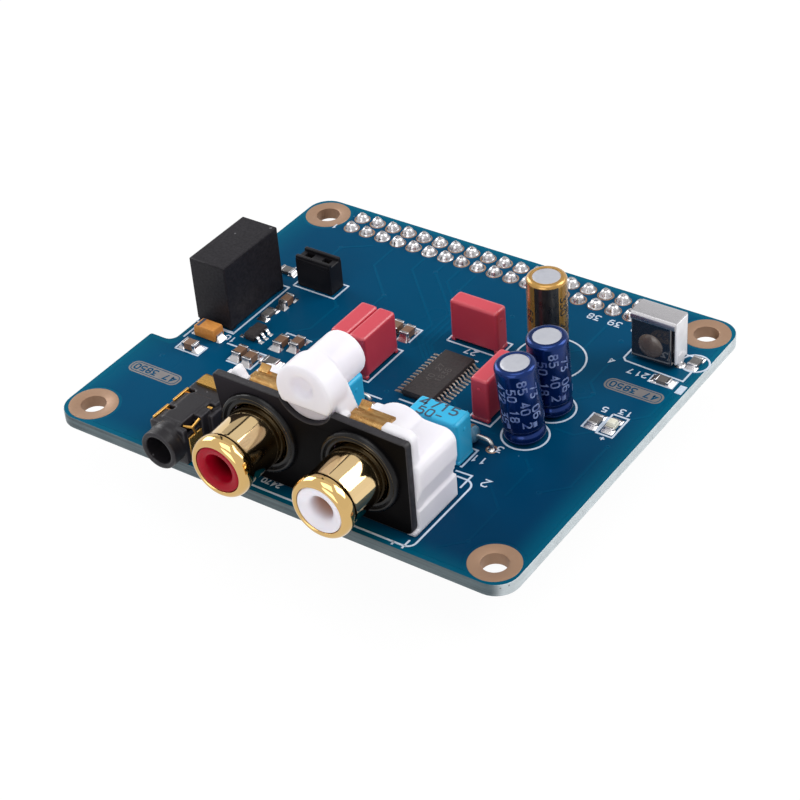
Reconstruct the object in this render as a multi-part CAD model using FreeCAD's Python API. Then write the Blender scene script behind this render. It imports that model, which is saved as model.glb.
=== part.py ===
import FreeCAD, Part
import math
import os

# Audio converter board, millimetres. X runs along the front edge, Y to the rear header, Z up.
# The origin is the centre of the four mounting holes, on the board's top face.

Vector = FreeCAD.Vector
X_AXIS = Vector(1, 0, 0)
Y_AXIS = Vector(0, 1, 0)
Z_AXIS = Vector(0, 0, 1)
NEAR = 0.001

# Board
HOLE_PITCH_X = 58.0
HOLE_PITCH_Y = 49.0
EDGE_MARGIN = 3.5
BOARD_THICKNESS = 1.6
BOARD_CORNER = 3.0
MOUNT_HOLE_RADIUS = 1.375
CUTOUT_DEPTH = 3.5
CUTOUT_LENGTH = 18.0
CUTOUT_CENTRE_Y = -0.3
CUTOUT_RADIUS = 1.2

# Leads through the board
LEAD_CLEARANCE = 0.08
LEAD_STUB = 1.0
SMALL_ROUND_SIDES = 6
WIRE_SIDE = 0.56

# Rear header socket under the board
PIN_PITCH = 2.54
HEADER_COLUMNS = 20
HEADER_ROWS = 2
HEADER_DEPTH = 5.0
HEADER_HEIGHT = 8.5
SOCKET_SLOT = 0.95
PIN_SIDE = 0.64
LEAF_THICKNESS = 0.2
LEAF_CLEARANCE = 0.03
LEAF_END = 0.8
JOINT_SIDE = 1.5
JOINT_HEIGHT = 1.3

# Phono pair: plate and shells
PHONO_X = 5.5
PHONO_PITCH = 14.0
PHONO_AXIS_Z = 7.0
PLATE_FRONT_Y = -25.6
PLATE_SIDE = 6.1
PLATE_BOTTOM = 0.2
PLATE_HEIGHT = 13.1
PLATE_THICKNESS = 1.0
PLATE_CORNER = 1.3
COLLAR_WIDTH = 1.5
COLLAR_HEIGHT = 0.7
SHELL_RADIUS = 3.8
SHELL_BORE = 3.0
SHELL_REACH = 7.6
SHELL_FIT = 0.04
LIP_RADIUS = 4.15
LIP_LENGTH = 1.2
SHELL_TAIL = 0.6

# Phono pair: inserts, contacts and straps
INSERT_RECESS = 0.25
INSERT_FIT = 0.02
FUNNEL_DEPTH = 2.0
CENTRE_HOLE_RADIUS = 1.65
INSERT_TAIL = 2.2
CONTACT_FIT = 0.02
CONTACT_WALL = 0.25
CONTACT_SETBACK = 2.6
CONTACT_DISC = 0.4
TAIL_WIDTH = 1.2
STRAP_THICKNESS = 0.4
STRAP_MARGIN = 0.9
STRAP_WIDTH = 4.5
STRAP_TOP = 12.5
STRAP_FOLD = 2.4

# Phono pair: white housing
HOUSING_FLANGE = 1.4
HOUSING_FLANGE_HEIGHT = 12.8
HOUSING_FLANGE_SIDE = 6.3
POCKET_CLEARANCE = 0.1
BODY_OUTER = 6.9
BODY_INNER = 3.6
BODY_HEIGHT = 9.7
BODY_DEPTH = 7.6
BODY_CORNER = 1.5
VAULT_RADIUS = 3.7
PLINTH_HEIGHT = 3.2
PLINTH_INSET = 0.5
PLINTH_TAIL = 0.6
LUG_SPREAD = 3.6
LUG_BASE = 2.6
LUG_TOP = 1.6
LUG_RISE = 1.0
BOSS_Z = 15.7
BOSS_TUBE_RADIUS = 2.8
BOSS_TUBE_LENGTH = 4.4
BOSS_HEAD_RADIUS = 3.75
BOSS_HEAD_DROP = 0.7
BOSS_HEAD_LENGTH = 2.8
BOSS_NOSE = 0.8
BOSS_CLEARANCE = 0.15
BOSS_HOLE_RADIUS = 1.3
BOSS_HOLE_DEPTH = 7.0

# Headphone socket
JACK_X = -13.7
JACK_FRONT_Y = -28.1
JACK_WIDTH = 5.1
JACK_LENGTH = 10.1
JACK_HEIGHT = 4.9
JACK_BEVEL = 0.3
JACK_SHOULDER = 0.6
JACK_SHOULDER_LENGTH = 5.6
JACK_SHOULDER_DROP = 0.5
NOSE_RADIUS = 2.5
NOSE_LENGTH = 2.0
JACK_BORE_RADIUS = 1.8
JACK_BORE_DEPTH = 10.6
BLADE_THICKNESS = 0.35
BLADE_LENGTH = 2.8
BLADE_GAP = 0.9
BLADE_START = 0.6
BLADE_SLACK = 0.03
BLADE_PROUD = 0.12
BRACKET_START = 0.9
BRACKET_LENGTH = 2.4
BRACKET_TONGUE = 1.1
REAR_LEAF_LENGTH = 1.9
REAR_LEAF_WIDTH = 4.0

# Converter block at the cable cut-out
BLOCK_X = -26.2
BLOCK_Y = 1.55
BLOCK_WIDTH = 5.4
BLOCK_LENGTH = 11.1
BLOCK_HEIGHT = 9.2
BLOCK_WALL = 0.7
BLOCK_CHAMFER = 0.25
POTTING_RECESS = 0.4
BLOCK_PINS = 4
FLAT_PIN_WIDTH = 0.5
FLAT_PIN_THICKNESS = 0.3

# Two-way socket strip
STRIP_X = -19.55
STRIP_Y = 9.85
STRIP_WAYS = 2
STRIP_END_WALL = 0.2
STRIP_DEPTH = 2.5
STRIP_HEIGHT = 4.7
STRIP_GROOVE_WIDTH = 1.5
STRIP_GROOVE_DEPTH = 0.35

# Infrared receiver
RECEIVER_X = 26.6
RECEIVER_FRONT_Y = 15.6
RECEIVER_WIDTH = 5.6
RECEIVER_DEPTH = 3.2
RECEIVER_TOP = 7.0
RECEIVER_BOTTOM = 0.4
SHIELD_SHEET = 0.3
SHIELD_RIM = 0.4
SHIELD_BEVEL = 0.25
SHIELD_FIT = 0.04
TAB_WIDTH = 1.5
TAB_FOOT = 0.7
LENS_RADIUS = 1.5
LENS_Z = 3.2
LENS_PROUD = 0.5
RECEIVER_LEADS = 3
RECEIVER_PITCH = 1.6

# Box film capacitors
FILM_LENGTH = 6.9
FILM_DEPTH = 2.5
FILM_HEIGHT = 6.1
WIDE_FILM_DEPTH = 3.3
WIDE_FILM_HEIGHT = 5.9
FILM_EDGE = 0.25
FILM_FOOT = 0.3
FILM_FOOT_LENGTH = 0.6
FILM_LEAD_PITCH = 5.0
FILM_PAIR_GAP = 0.1
FILM_PAIR_X = -4.85
FILM_PAIR_Y = -0.7

# Radial electrolytics
CAN_RADIUS = 2.52
CAN_STANDOFF = 0.35
CRIMP_Z = 1.1
CRIMP_WIDTH = 0.6
CRIMP_DEPTH = 0.25
CAN_LEAD_PITCH = 2.0

# Converter chip
CHIP_X = 5.35
CHIP_Y = 0.2
CHIP_WIDTH = 4.4
CHIP_LENGTH = 9.7
CHIP_HEIGHT = 0.9
CHIP_STANDOFF = 0.1
CHIP_DRAFT = 0.12
CHIP_ROW_LEADS = 14
CHIP_LEAD_PITCH = 0.65
CHIP_LEAD_WIDTH = 0.22
CHIP_SPAN = 6.4
LEAD_SHEET = 0.13
DIMPLE_RADIUS = 0.45
DIMPLE_DEPTH = 0.08
DIMPLE_INSET = 1.0

# Small surface-mount parts
TANTALUM_X = -25.5
TANTALUM_Y = -6.1
TANTALUM_LENGTH = 3.3
TANTALUM_WIDTH = 2.0
TANTALUM_HEIGHT = 1.7
TANTALUM_BEVEL = 0.35
TERMINAL_SHEET = 0.12
TERMINAL_WIDTH = 1.2
REGULATOR_X = -20.2
REGULATOR_Y = -3.2
REGULATOR_WIDTH = 1.6
REGULATOR_LENGTH = 2.9
REGULATOR_HEIGHT = 1.0
REGULATOR_SPAN = 2.8
REGULATOR_PITCH = 0.95
REGULATOR_LEAD_WIDTH = 0.4
SMD_LENGTH = 2.0
SMD_WIDTH = 1.25
SMD_CAP_LENGTH = 0.4
SMD_CAP_LIP = 0.03
CERAMIC_HEIGHT = 1.0
RESISTOR_HEIGHT = 0.5
LED_X = 28.15
LED_Y = 2.65
LED_BASE = 0.4
LED_LENS_HEIGHT = 0.5
LED_LENS_DRAFT = 0.15

# Axial resistors
AXIAL_Y = -8.0
AXIAL_PITCH = 10.16
AXIAL_LENGTH = 6.3
AXIAL_RADIUS = 1.15
AXIAL_LIFT = 0.15
AXIAL_BEND = 0.8

# Places of repeated parts: x, y, the axis that the part lies along
RED_FILMS = (
    (FILM_PAIR_X - (FILM_DEPTH + FILM_PAIR_GAP) / 2, FILM_PAIR_Y, "Y"),
    (FILM_PAIR_X + (FILM_DEPTH + FILM_PAIR_GAP) / 2, FILM_PAIR_Y, "Y"),
    (5.4, 9.3, "X"),
    (14.1, -0.7, "Y"),
)
BLUE_FILMS = ((-2.1, -10.95, "X"), (13.1, -10.95, "X"))
# Electrolytics: x, y, height, lean in degrees, heading of the lean in degrees
ELECTROLYTICS = (
    (20.14, -3.77, 10.4, 5.0, 217.0),
    (20.26, 2.18, 10.4, 2.3, 217.0),
    (14.1, 11.5, 11.2, 0.0, 0.0),
)
CERAMICS = (
    (-25.8, -9.4, "X"),
    (-19.3, -7.6, "Y"),
    (-17.4, -7.9, "Y"),
    (-16.1, -3.3, "Y"),
    (-14.1, -2.5, "Y"),
    (-3.3, 6.2, "Y"),
    (-5.2, 6.4, "Y"),
    (-21.0, 4.4, "Y"),
)
RESISTORS = (
    (-21.6, 1.2, "Y"),
    (-14.9, -7.0, "X"),
    (LED_X - 2.15, LED_Y - 0.25, "Y"),
    (RECEIVER_X + 2.5, RECEIVER_FRONT_Y - 2.4, "X"),
    (RECEIVER_X + 4.15, RECEIVER_FRONT_Y + 2.7, "Y"),
    (-25.4, 10.4, "X"),
)
AXIAL_CENTRES = (-4.2, 13.1)


def box(x0, x1, y0, y1, z0, z1):
    """Box between two corners."""
    return Part.makeBox(x1 - x0, y1 - y0, z1 - z0, Vector(x0, y0, z0))


def rod(radius, start, end):
    """Cylinder from one point to another."""
    run = end - start
    return Part.makeCylinder(radius, run.Length, start, run)


def face_of(points):
    """Flat face with straight sides."""
    return Part.Face(Part.makePolygon(list(points) + [points[0]]))


def turned(profile, centre, axis, side):
    """Solid of revolution: profile is (radius, distance along axis) from centre, side is radial."""
    points = [centre + side * radius + axis * along for radius, along in profile]
    return face_of(points).revolve(centre, axis, 360)


def small_ring(centre, radius, first, second):
    """Corners of a small round in the plane of two directions, with few sides."""
    turn = 2 * math.pi / SMALL_ROUND_SIDES
    angles = [turn * i for i in range(SMALL_ROUND_SIDES)]
    return [centre + first * (radius * math.cos(a)) + second * (radius * math.sin(a)) for a in angles]


def small_rod(x, y0, y1, z, radius):
    """Rod of small radius along Y."""
    return face_of(small_ring(Vector(x, y0, z), radius, X_AXIS, Z_AXIS)).extrude(Vector(0, y1 - y0, 0))


def edges_along(shape, axis):
    """Straight edges parallel to an axis."""
    found = []
    for edge in shape.Edges:
        if isinstance(edge.Curve, Part.Line):
            run = edge.Vertexes[1].Point - edge.Vertexes[0].Point
            if run.normalize().cross(axis).Length < NEAR:
                found.append(edge)
    return found


def rounded(shape, radius, axis, wanted=None):
    """Fillet of the edges along an axis, or of those whose middle is wanted."""
    edges = edges_along(shape, axis)
    if wanted:
        edges = [edge for edge in edges if wanted(edge.CenterOfMass)]
    return shape.makeFillet(radius, edges)


def fused(first, *others):
    """One solid out of several that touch or overlap."""
    return first.fuse(list(others)).removeSplitter()


def lying(x, y, along, length, width, z0, z1):
    """Box of a length and width centred on a place and lying along X or Y."""
    half_x = (length if along == "X" else width) / 2
    half_y = (width if along == "X" else length) / 2
    return box(x - half_x, x + half_x, y - half_y, y + half_y, z0, z1)


def wire(x, y, top):
    """Wire lead from a height down through the board."""
    return lying(x, y, "X", WIRE_SIDE, WIRE_SIDE, LEAD_END_Z, top)


def offset_along(x, y, along, distance):
    """Place moved along X or Y."""
    return (x + distance, y) if along == "X" else (x, y + distance)


# Places worked out from the sizes above

BOARD_HALF_X = HOLE_PITCH_X / 2 + EDGE_MARGIN
BOARD_HALF_Y = HOLE_PITCH_Y / 2 + EDGE_MARGIN
LEAD_END_Z = -BOARD_THICKNESS - LEAD_STUB
HEADER_Y = HOLE_PITCH_Y / 2
LEAF_OFFSET = (SOCKET_SLOT - LEAF_THICKNESS) / 2 - LEAF_CLEARANCE
PHONO_AXES = (PHONO_X - PHONO_PITCH / 2, PHONO_X + PHONO_PITCH / 2)
PLATE_BACK_Y = PLATE_FRONT_Y + PLATE_THICKNESS
STRAP_Y = PLATE_BACK_Y + SHELL_TAIL
POCKET_Y = STRAP_Y + STRAP_THICKNESS
INSERT_BACK_Y = POCKET_Y + INSERT_TAIL
HOUSING_BACK_Y = PLATE_BACK_Y + BODY_DEPTH
STRAP_PLATE_HALF = SHELL_RADIUS + STRAP_MARGIN
INSERT_RADIUS = SHELL_BORE - INSERT_FIT
CONTACT_RADIUS = CENTRE_HOLE_RADIUS - CONTACT_FIT
JACK_LEFT = JACK_X - JACK_WIDTH / 2
JACK_RIGHT = JACK_X + JACK_WIDTH / 2
JACK_REAR_Y = JACK_FRONT_Y + JACK_LENGTH
NOSE_Z = NOSE_RADIUS
RECEIVER_REAR_Y = RECEIVER_FRONT_Y + RECEIVER_DEPTH
RECEIVER_MIDDLE_Y = RECEIVER_FRONT_Y + RECEIVER_DEPTH / 2
AXIAL_Z = AXIAL_RADIUS + AXIAL_LIFT


def header_places():
    """Pin places of the rear header, column by column."""
    for column in range(HEADER_COLUMNS):
        for row in range(HEADER_ROWS):
            x = (column - (HEADER_COLUMNS - 1) / 2) * PIN_PITCH
            y = HEADER_Y + (row - (HEADER_ROWS - 1) / 2) * PIN_PITCH
            yield x, y


def strip_places():
    """Pin places of the two-way strip."""
    return [(STRIP_X + (i - (STRIP_WAYS - 1) / 2) * PIN_PITCH, STRIP_Y) for i in range(STRIP_WAYS)]


def block_places():
    """Pin places of the converter block."""
    return [(BLOCK_X, BLOCK_Y + (i - (BLOCK_PINS - 1) / 2) * PIN_PITCH) for i in range(BLOCK_PINS)]


def receiver_places():
    """Lead places of the infrared receiver."""
    middle = (RECEIVER_LEADS - 1) / 2
    first = RECEIVER_X - middle * RECEIVER_PITCH
    return [(first + i * RECEIVER_PITCH, RECEIVER_MIDDLE_Y) for i in range(RECEIVER_LEADS)]


def film_lead_places():
    """Both leads of each film capacitor."""
    for x, y, along in RED_FILMS + BLUE_FILMS:
        for sign in (-1, 1):
            yield offset_along(x, y, along, sign * FILM_LEAD_PITCH / 2)


def can_lead_places():
    """Both leads of each electrolytic."""
    for x, y, height, lean, heading in ELECTROLYTICS:
        for sign in (-1, 1):
            yield x + sign * CAN_LEAD_PITCH / 2, y


def axial_lead_places():
    """Both leads of each axial resistor."""
    for x in AXIAL_CENTRES:
        for sign in (-1, 1):
            yield x + sign * AXIAL_PITCH / 2, AXIAL_Y


def slot(x, y, size_x, size_y):
    """Board slot round a flat pin, with clearance."""
    half_x = size_x / 2 + LEAD_CLEARANCE
    half_y = size_y / 2 + LEAD_CLEARANCE
    return box(x - half_x, x + half_x, y - half_y, y + half_y, -BOARD_THICKNESS, 0)


def lead_holes():
    """Every hole that a lead or pin takes through the board."""
    sockets = list(header_places()) + strip_places()
    holes = [slot(x, y + LEAF_OFFSET, PIN_SIDE, LEAF_THICKNESS) for x, y in sockets]
    holes += [slot(x, y, FLAT_PIN_WIDTH, FLAT_PIN_THICKNESS) for x, y in block_places()]
    holes += [slot(x, y, FLAT_PIN_WIDTH, FLAT_PIN_THICKNESS) for x, y in receiver_places()]
    holes += [slot(x, RECEIVER_MIDDLE_Y, SHIELD_SHEET, TAB_FOOT) for x in shield_tab_places()]
    wires = list(film_lead_places()) + list(can_lead_places()) + list(axial_lead_places())
    holes += [slot(x, y, WIRE_SIDE, WIRE_SIDE) for x, y in wires]
    for x in PHONO_AXES:
        holes.append(slot(x, STRAP_Y + STRAP_THICKNESS / 2, TAIL_WIDTH, STRAP_THICKNESS))
        holes.append(slot(x, INSERT_BACK_Y + CONTACT_DISC / 2, TAIL_WIDTH, CONTACT_DISC))
    for x, y, depth in jack_feet():
        holes.append(slot(x, y, BLADE_THICKNESS, depth))
    return holes


def board():
    """Board with rounded corners, cable cut-out, mounting holes and lead holes."""
    plate = box(-BOARD_HALF_X, BOARD_HALF_X, -BOARD_HALF_Y, BOARD_HALF_Y, -BOARD_THICKNESS, 0)
    plate = rounded(plate, BOARD_CORNER, Z_AXIS)
    inner = -BOARD_HALF_X + CUTOUT_DEPTH
    low = CUTOUT_CENTRE_Y - CUTOUT_LENGTH / 2
    high = CUTOUT_CENTRE_Y + CUTOUT_LENGTH / 2
    plate = plate.cut(box(-BOARD_HALF_X - CUTOUT_DEPTH, inner, low, high, -BOARD_THICKNESS, 0))

    def at_cutout(point):
        return point.x < inner + NEAR and low - NEAR < point.y < high + NEAR

    plate = rounded(plate, CUTOUT_RADIUS, Z_AXIS, at_cutout)
    tools = lead_holes()
    for x in (-HOLE_PITCH_X / 2, HOLE_PITCH_X / 2):
        for y in (-HOLE_PITCH_Y / 2, HOLE_PITCH_Y / 2):
            tools.append(rod(MOUNT_HOLE_RADIUS, Vector(x, y, -BOARD_THICKNESS), Vector(x, y, 0)))
    return plate.cut(tools)


def header_housing():
    """Two-row socket body with a slot for each contact."""
    half_x = HEADER_COLUMNS * PIN_PITCH / 2
    half_y = HEADER_DEPTH / 2
    top = -BOARD_THICKNESS
    floor = top - HEADER_HEIGHT
    body = box(-half_x, half_x, HEADER_Y - half_y, HEADER_Y + half_y, floor, top)
    slots = [lying(x, y, "X", SOCKET_SLOT, SOCKET_SLOT, floor, top) for x, y in header_places()]
    return body.cut(slots)


def leaf_contact(x, y, z0, z1):
    """Flat spring leaf at the rear of its slot, clear of the pin that goes in beside it."""
    return lying(x, y + LEAF_OFFSET, "X", PIN_SIDE, LEAF_THICKNESS, z0, z1)


def header_contacts():
    """Contacts of the rear header, their tails level with the board's top."""
    end = -BOARD_THICKNESS - HEADER_HEIGHT + LEAF_END
    return Part.makeCompound([leaf_contact(x, y, end, 0) for x, y in header_places()])


def solder_joint(x, y):
    """Solder cone over a tail."""
    half = JOINT_SIDE / 2
    foot = [Vector(x + sx * half, y + sy * half, 0) for sx, sy in ((-1, -1), (1, -1), (1, 1), (-1, 1))]
    tip = Vector(x, y, JOINT_HEIGHT)
    faces = [face_of(foot[::-1])]
    for first, second in zip(foot, foot[1:] + foot[:1]):
        faces.append(face_of((first, second, tip)))
    return Part.makeSolid(Part.makeShell(faces))


def header_joints():
    """Solder joints of the rear header."""
    return Part.makeCompound([solder_joint(x, y) for x, y in header_places()])


def boss_head_z():
    """Centre height of the boss's larger front section."""
    return BOSS_Z - BOSS_HEAD_DROP


def phono_plate():
    """Black front plate with a collar round each shell and a notch for the boss."""
    half = PHONO_PITCH / 2 + PLATE_SIDE
    top = PLATE_BOTTOM + PLATE_HEIGHT
    plate = box(PHONO_X - half, PHONO_X + half, PLATE_FRONT_Y, PLATE_BACK_Y, PLATE_BOTTOM, top)
    plate = rounded(plate, PLATE_CORNER, Y_AXIS, lambda point: point.z > top - NEAR)
    notch = BOSS_HEAD_RADIUS + BOSS_CLEARANCE
    start = Vector(PHONO_X, PLATE_FRONT_Y - COLLAR_HEIGHT, boss_head_z())
    plate = plate.cut(rod(notch, start, Vector(PHONO_X, PLATE_BACK_Y, boss_head_z())))
    for x in PHONO_AXES:
        front = Vector(x, PLATE_FRONT_Y - COLLAR_HEIGHT, PHONO_AXIS_Z)
        back = Vector(x, PLATE_BACK_Y, PHONO_AXIS_Z)
        collar = rod(SHELL_RADIUS + COLLAR_WIDTH, front, Vector(x, PLATE_FRONT_Y, PHONO_AXIS_Z))
        plate = fused(plate, collar).cut(rod(SHELL_RADIUS + SHELL_FIT, front, back))
    return plate


def phono_shell(x):
    """Gold shell: barrel through the plate, with a raised lip at its mouth."""
    lip_start = SHELL_REACH - LIP_LENGTH
    profile = (
        (SHELL_BORE, -PLATE_THICKNESS - SHELL_TAIL),
        (SHELL_RADIUS, -PLATE_THICKNESS - SHELL_TAIL),
        (SHELL_RADIUS, lip_start),
        (LIP_RADIUS, lip_start),
        (LIP_RADIUS, SHELL_REACH),
        (SHELL_BORE, SHELL_REACH),
    )
    return turned(profile, Vector(x, PLATE_FRONT_Y, PHONO_AXIS_Z), -Y_AXIS, Z_AXIS)


def phono_insert(x):
    """Coloured insert with a funnel mouth and a centre hole."""
    front = SHELL_REACH - INSERT_RECESS
    back = PLATE_FRONT_Y - INSERT_BACK_Y
    profile = (
        (CENTRE_HOLE_RADIUS, back),
        (INSERT_RADIUS, back),
        (INSERT_RADIUS, front),
        (CENTRE_HOLE_RADIUS, front - FUNNEL_DEPTH),
    )
    return turned(profile, Vector(x, PLATE_FRONT_Y, PHONO_AXIS_Z), -Y_AXIS, Z_AXIS)


def phono_contact(x):
    """Centre contact: tube in the insert, disc behind it and a flat tail into the board."""
    y0 = PLATE_FRONT_Y - SHELL_REACH + INSERT_RECESS + FUNNEL_DEPTH + CONTACT_SETBACK
    y1 = INSERT_BACK_Y + CONTACT_DISC
    outer = small_rod(x, y0, y1, PHONO_AXIS_Z, CONTACT_RADIUS)
    inner = small_rod(x, y0, INSERT_BACK_Y, PHONO_AXIS_Z, CONTACT_RADIUS - CONTACT_WALL)
    half = TAIL_WIDTH / 2
    tail = box(x - half, x + half, INSERT_BACK_Y, y1, LEAD_END_Z, PHONO_AXIS_Z)
    return fused(outer.cut(inner), tail)


def insert_passage(x, y0, y1):
    """Few-sided passage whose flats clear an insert."""
    return small_rod(x, y0, y1, PHONO_AXIS_Z, SHELL_BORE / math.cos(math.pi / SMALL_ROUND_SIDES))


def phono_strap(x):
    """Brass earth strap: plate behind the shell, fold over the top and a tail into the board."""
    side = STRAP_PLATE_HALF
    plate = box(x - side, x + side, STRAP_Y, POCKET_Y, PHONO_AXIS_Z - side, PHONO_AXIS_Z + side)
    half = STRAP_WIDTH / 2
    riser = box(x - half, x + half, STRAP_Y, POCKET_Y, PHONO_AXIS_Z, STRAP_TOP)
    fold = box(x - half, x + half, STRAP_Y, POCKET_Y + STRAP_FOLD, STRAP_TOP - STRAP_THICKNESS, STRAP_TOP)
    half = TAIL_WIDTH / 2
    tail = box(x - half, x + half, STRAP_Y, POCKET_Y, LEAD_END_Z, PHONO_AXIS_Z)
    return fused(plate, riser, fold, tail).cut(insert_passage(x, STRAP_Y, POCKET_Y))


def phono_body(x, outward):
    """White body of one jack: block with a rounded outer shoulder and a vault over the jack."""
    inner = x - outward * BODY_INNER
    outer = x + outward * BODY_OUTER
    x0, x1 = sorted((inner, outer))
    block = box(x0, x1, PLATE_BACK_Y, HOUSING_BACK_Y, PLINTH_HEIGHT, BODY_HEIGHT)

    def at_shoulder(point):
        return point.z > BODY_HEIGHT - NEAR and abs(point.x - outer) < NEAR

    block = rounded(block, BODY_CORNER, Y_AXIS, at_shoulder)
    start = Vector(x, PLATE_BACK_Y, PHONO_AXIS_Z)
    return fused(block, rod(VAULT_RADIUS, start, Vector(x, HOUSING_BACK_Y, PHONO_AXIS_Z)))


def phono_lug(x):
    """Tapered lug on the top edge of the housing's flange."""
    half_base = LUG_BASE / 2
    half_top = LUG_TOP / 2
    low = HOUSING_FLANGE_HEIGHT
    high = low + LUG_RISE
    outline = ((x - half_base, low), (x + half_base, low), (x + half_top, high), (x - half_top, high))
    return face_of([Vector(px, PLATE_BACK_Y, pz) for px, pz in outline]).extrude(Vector(0, HOUSING_FLANGE, 0))


def phono_boss():
    """Screw boss over the plate: head with straight sides down to the body, and the tube behind it."""
    head_z = boss_head_z()
    nose_y = PLATE_BACK_Y - BOSS_NOSE
    head_end = PLATE_BACK_Y + BOSS_HEAD_LENGTH
    half = BOSS_HEAD_RADIUS
    head = rod(half, Vector(PHONO_X, nose_y, head_z), Vector(PHONO_X, head_end, head_z))
    sides = box(PHONO_X - half, PHONO_X + half, PLATE_BACK_Y, head_end, PLINTH_HEIGHT, head_z)
    tube_end = head_end + BOSS_TUBE_LENGTH
    tube = rod(BOSS_TUBE_RADIUS, Vector(PHONO_X, head_end, BOSS_Z), Vector(PHONO_X, tube_end, BOSS_Z))
    return fused(head, sides, tube)


def phono_cavities(x):
    """Room in the housing for one jack's shell, strap, insert and contact."""
    side = STRAP_PLATE_HALF + POCKET_CLEARANCE
    disc_back = INSERT_BACK_Y + CONTACT_DISC + POCKET_CLEARANCE
    strap = STRAP_WIDTH / 2 + POCKET_CLEARANCE
    tail = TAIL_WIDTH / 2 + POCKET_CLEARANCE
    flange_back = PLATE_BACK_Y + HOUSING_FLANGE
    fold_z = STRAP_TOP - STRAP_THICKNESS
    high = HOUSING_FLANGE_HEIGHT + LUG_RISE
    return [
        box(x - side, x + side, PLATE_BACK_Y, POCKET_Y, PHONO_AXIS_Z - side, PHONO_AXIS_Z + side),
        insert_passage(x, PLATE_BACK_Y, disc_back),
        box(x - strap, x + strap, PLATE_BACK_Y, POCKET_Y, PHONO_AXIS_Z, high),
        box(x - strap, x + strap, PLATE_BACK_Y, flange_back, fold_z, high),
        box(x - tail, x + tail, PLATE_BACK_Y, POCKET_Y, 0, PHONO_AXIS_Z),
        box(x - tail, x + tail, INSERT_BACK_Y, disc_back, 0, PHONO_AXIS_Z),
    ]


def phono_housing():
    """White moulded housing that holds both jacks, with the screw boss."""
    half = PHONO_PITCH / 2 + HOUSING_FLANGE_SIDE
    flange_back = PLATE_BACK_Y + HOUSING_FLANGE
    flange = box(PHONO_X - half, PHONO_X + half, PLATE_BACK_Y, flange_back, 0, HOUSING_FLANGE_HEIGHT)
    top_z = HOUSING_FLANGE_HEIGHT - NEAR
    top_edges = [edge for edge in edges_along(flange, Y_AXIS) if edge.CenterOfMass.z > top_z]
    flange = flange.makeChamfer(PLATE_CORNER, top_edges)
    half = PHONO_PITCH / 2 + BODY_OUTER - PLINTH_INSET
    plinth_back = HOUSING_BACK_Y + PLINTH_TAIL
    plinth = box(PHONO_X - half, PHONO_X + half, PLATE_BACK_Y, plinth_back, 0, PLINTH_HEIGHT)
    lugs = [phono_lug(PHONO_AXES[0] - LUG_SPREAD), phono_lug(PHONO_AXES[1] + LUG_SPREAD)]
    bodies = [phono_body(PHONO_AXES[0], -1), phono_body(PHONO_AXES[1], 1)]
    housing = fused(flange, plinth, phono_boss(), *lugs, *bodies)
    hole_start = Vector(PHONO_X, PLATE_BACK_Y - BOSS_NOSE, BOSS_Z)
    hole_end = hole_start + Y_AXIS * BOSS_HOLE_DEPTH
    tools = [rod(BOSS_HOLE_RADIUS, hole_start, hole_end)]
    for x in PHONO_AXES:
        tools += phono_cavities(x)
    return housing.cut(tools)


def blade_spans():
    """Front and rear ends of the two blades in the headphone socket's left wall."""
    first = JACK_FRONT_Y + BLADE_START
    second = first + BLADE_LENGTH + BLADE_GAP
    return ((first, first + BLADE_LENGTH), (second, second + BLADE_LENGTH))


def bracket_span():
    """Front and rear ends of the bracket in the headphone socket's right wall."""
    start = JACK_FRONT_Y + BRACKET_START
    return start, start + BRACKET_LENGTH


def jack_feet():
    """Feet of the headphone socket's contacts: x, y and depth along Y."""
    left = JACK_LEFT + BLADE_THICKNESS / 2
    right = JACK_RIGHT - BLADE_THICKNESS / 2
    feet = [(left, (y0 + y1) / 2, TAIL_WIDTH) for y0, y1 in blade_spans()]
    y0, y1 = bracket_span()
    feet.append((right, (y0 + y1) / 2, TAIL_WIDTH))
    feet.append((JACK_X, JACK_REAR_Y + BLADE_THICKNESS / 2 + BLADE_SLACK, BLADE_THICKNESS))
    return feet


def jack_foot(x, y, depth, top):
    """Flat foot of a contact, from the board's underside up to the contact."""
    half_x = BLADE_THICKNESS / 2
    return box(x - half_x, x + half_x, y - depth / 2, y + depth / 2, LEAD_END_Z, top)


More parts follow.
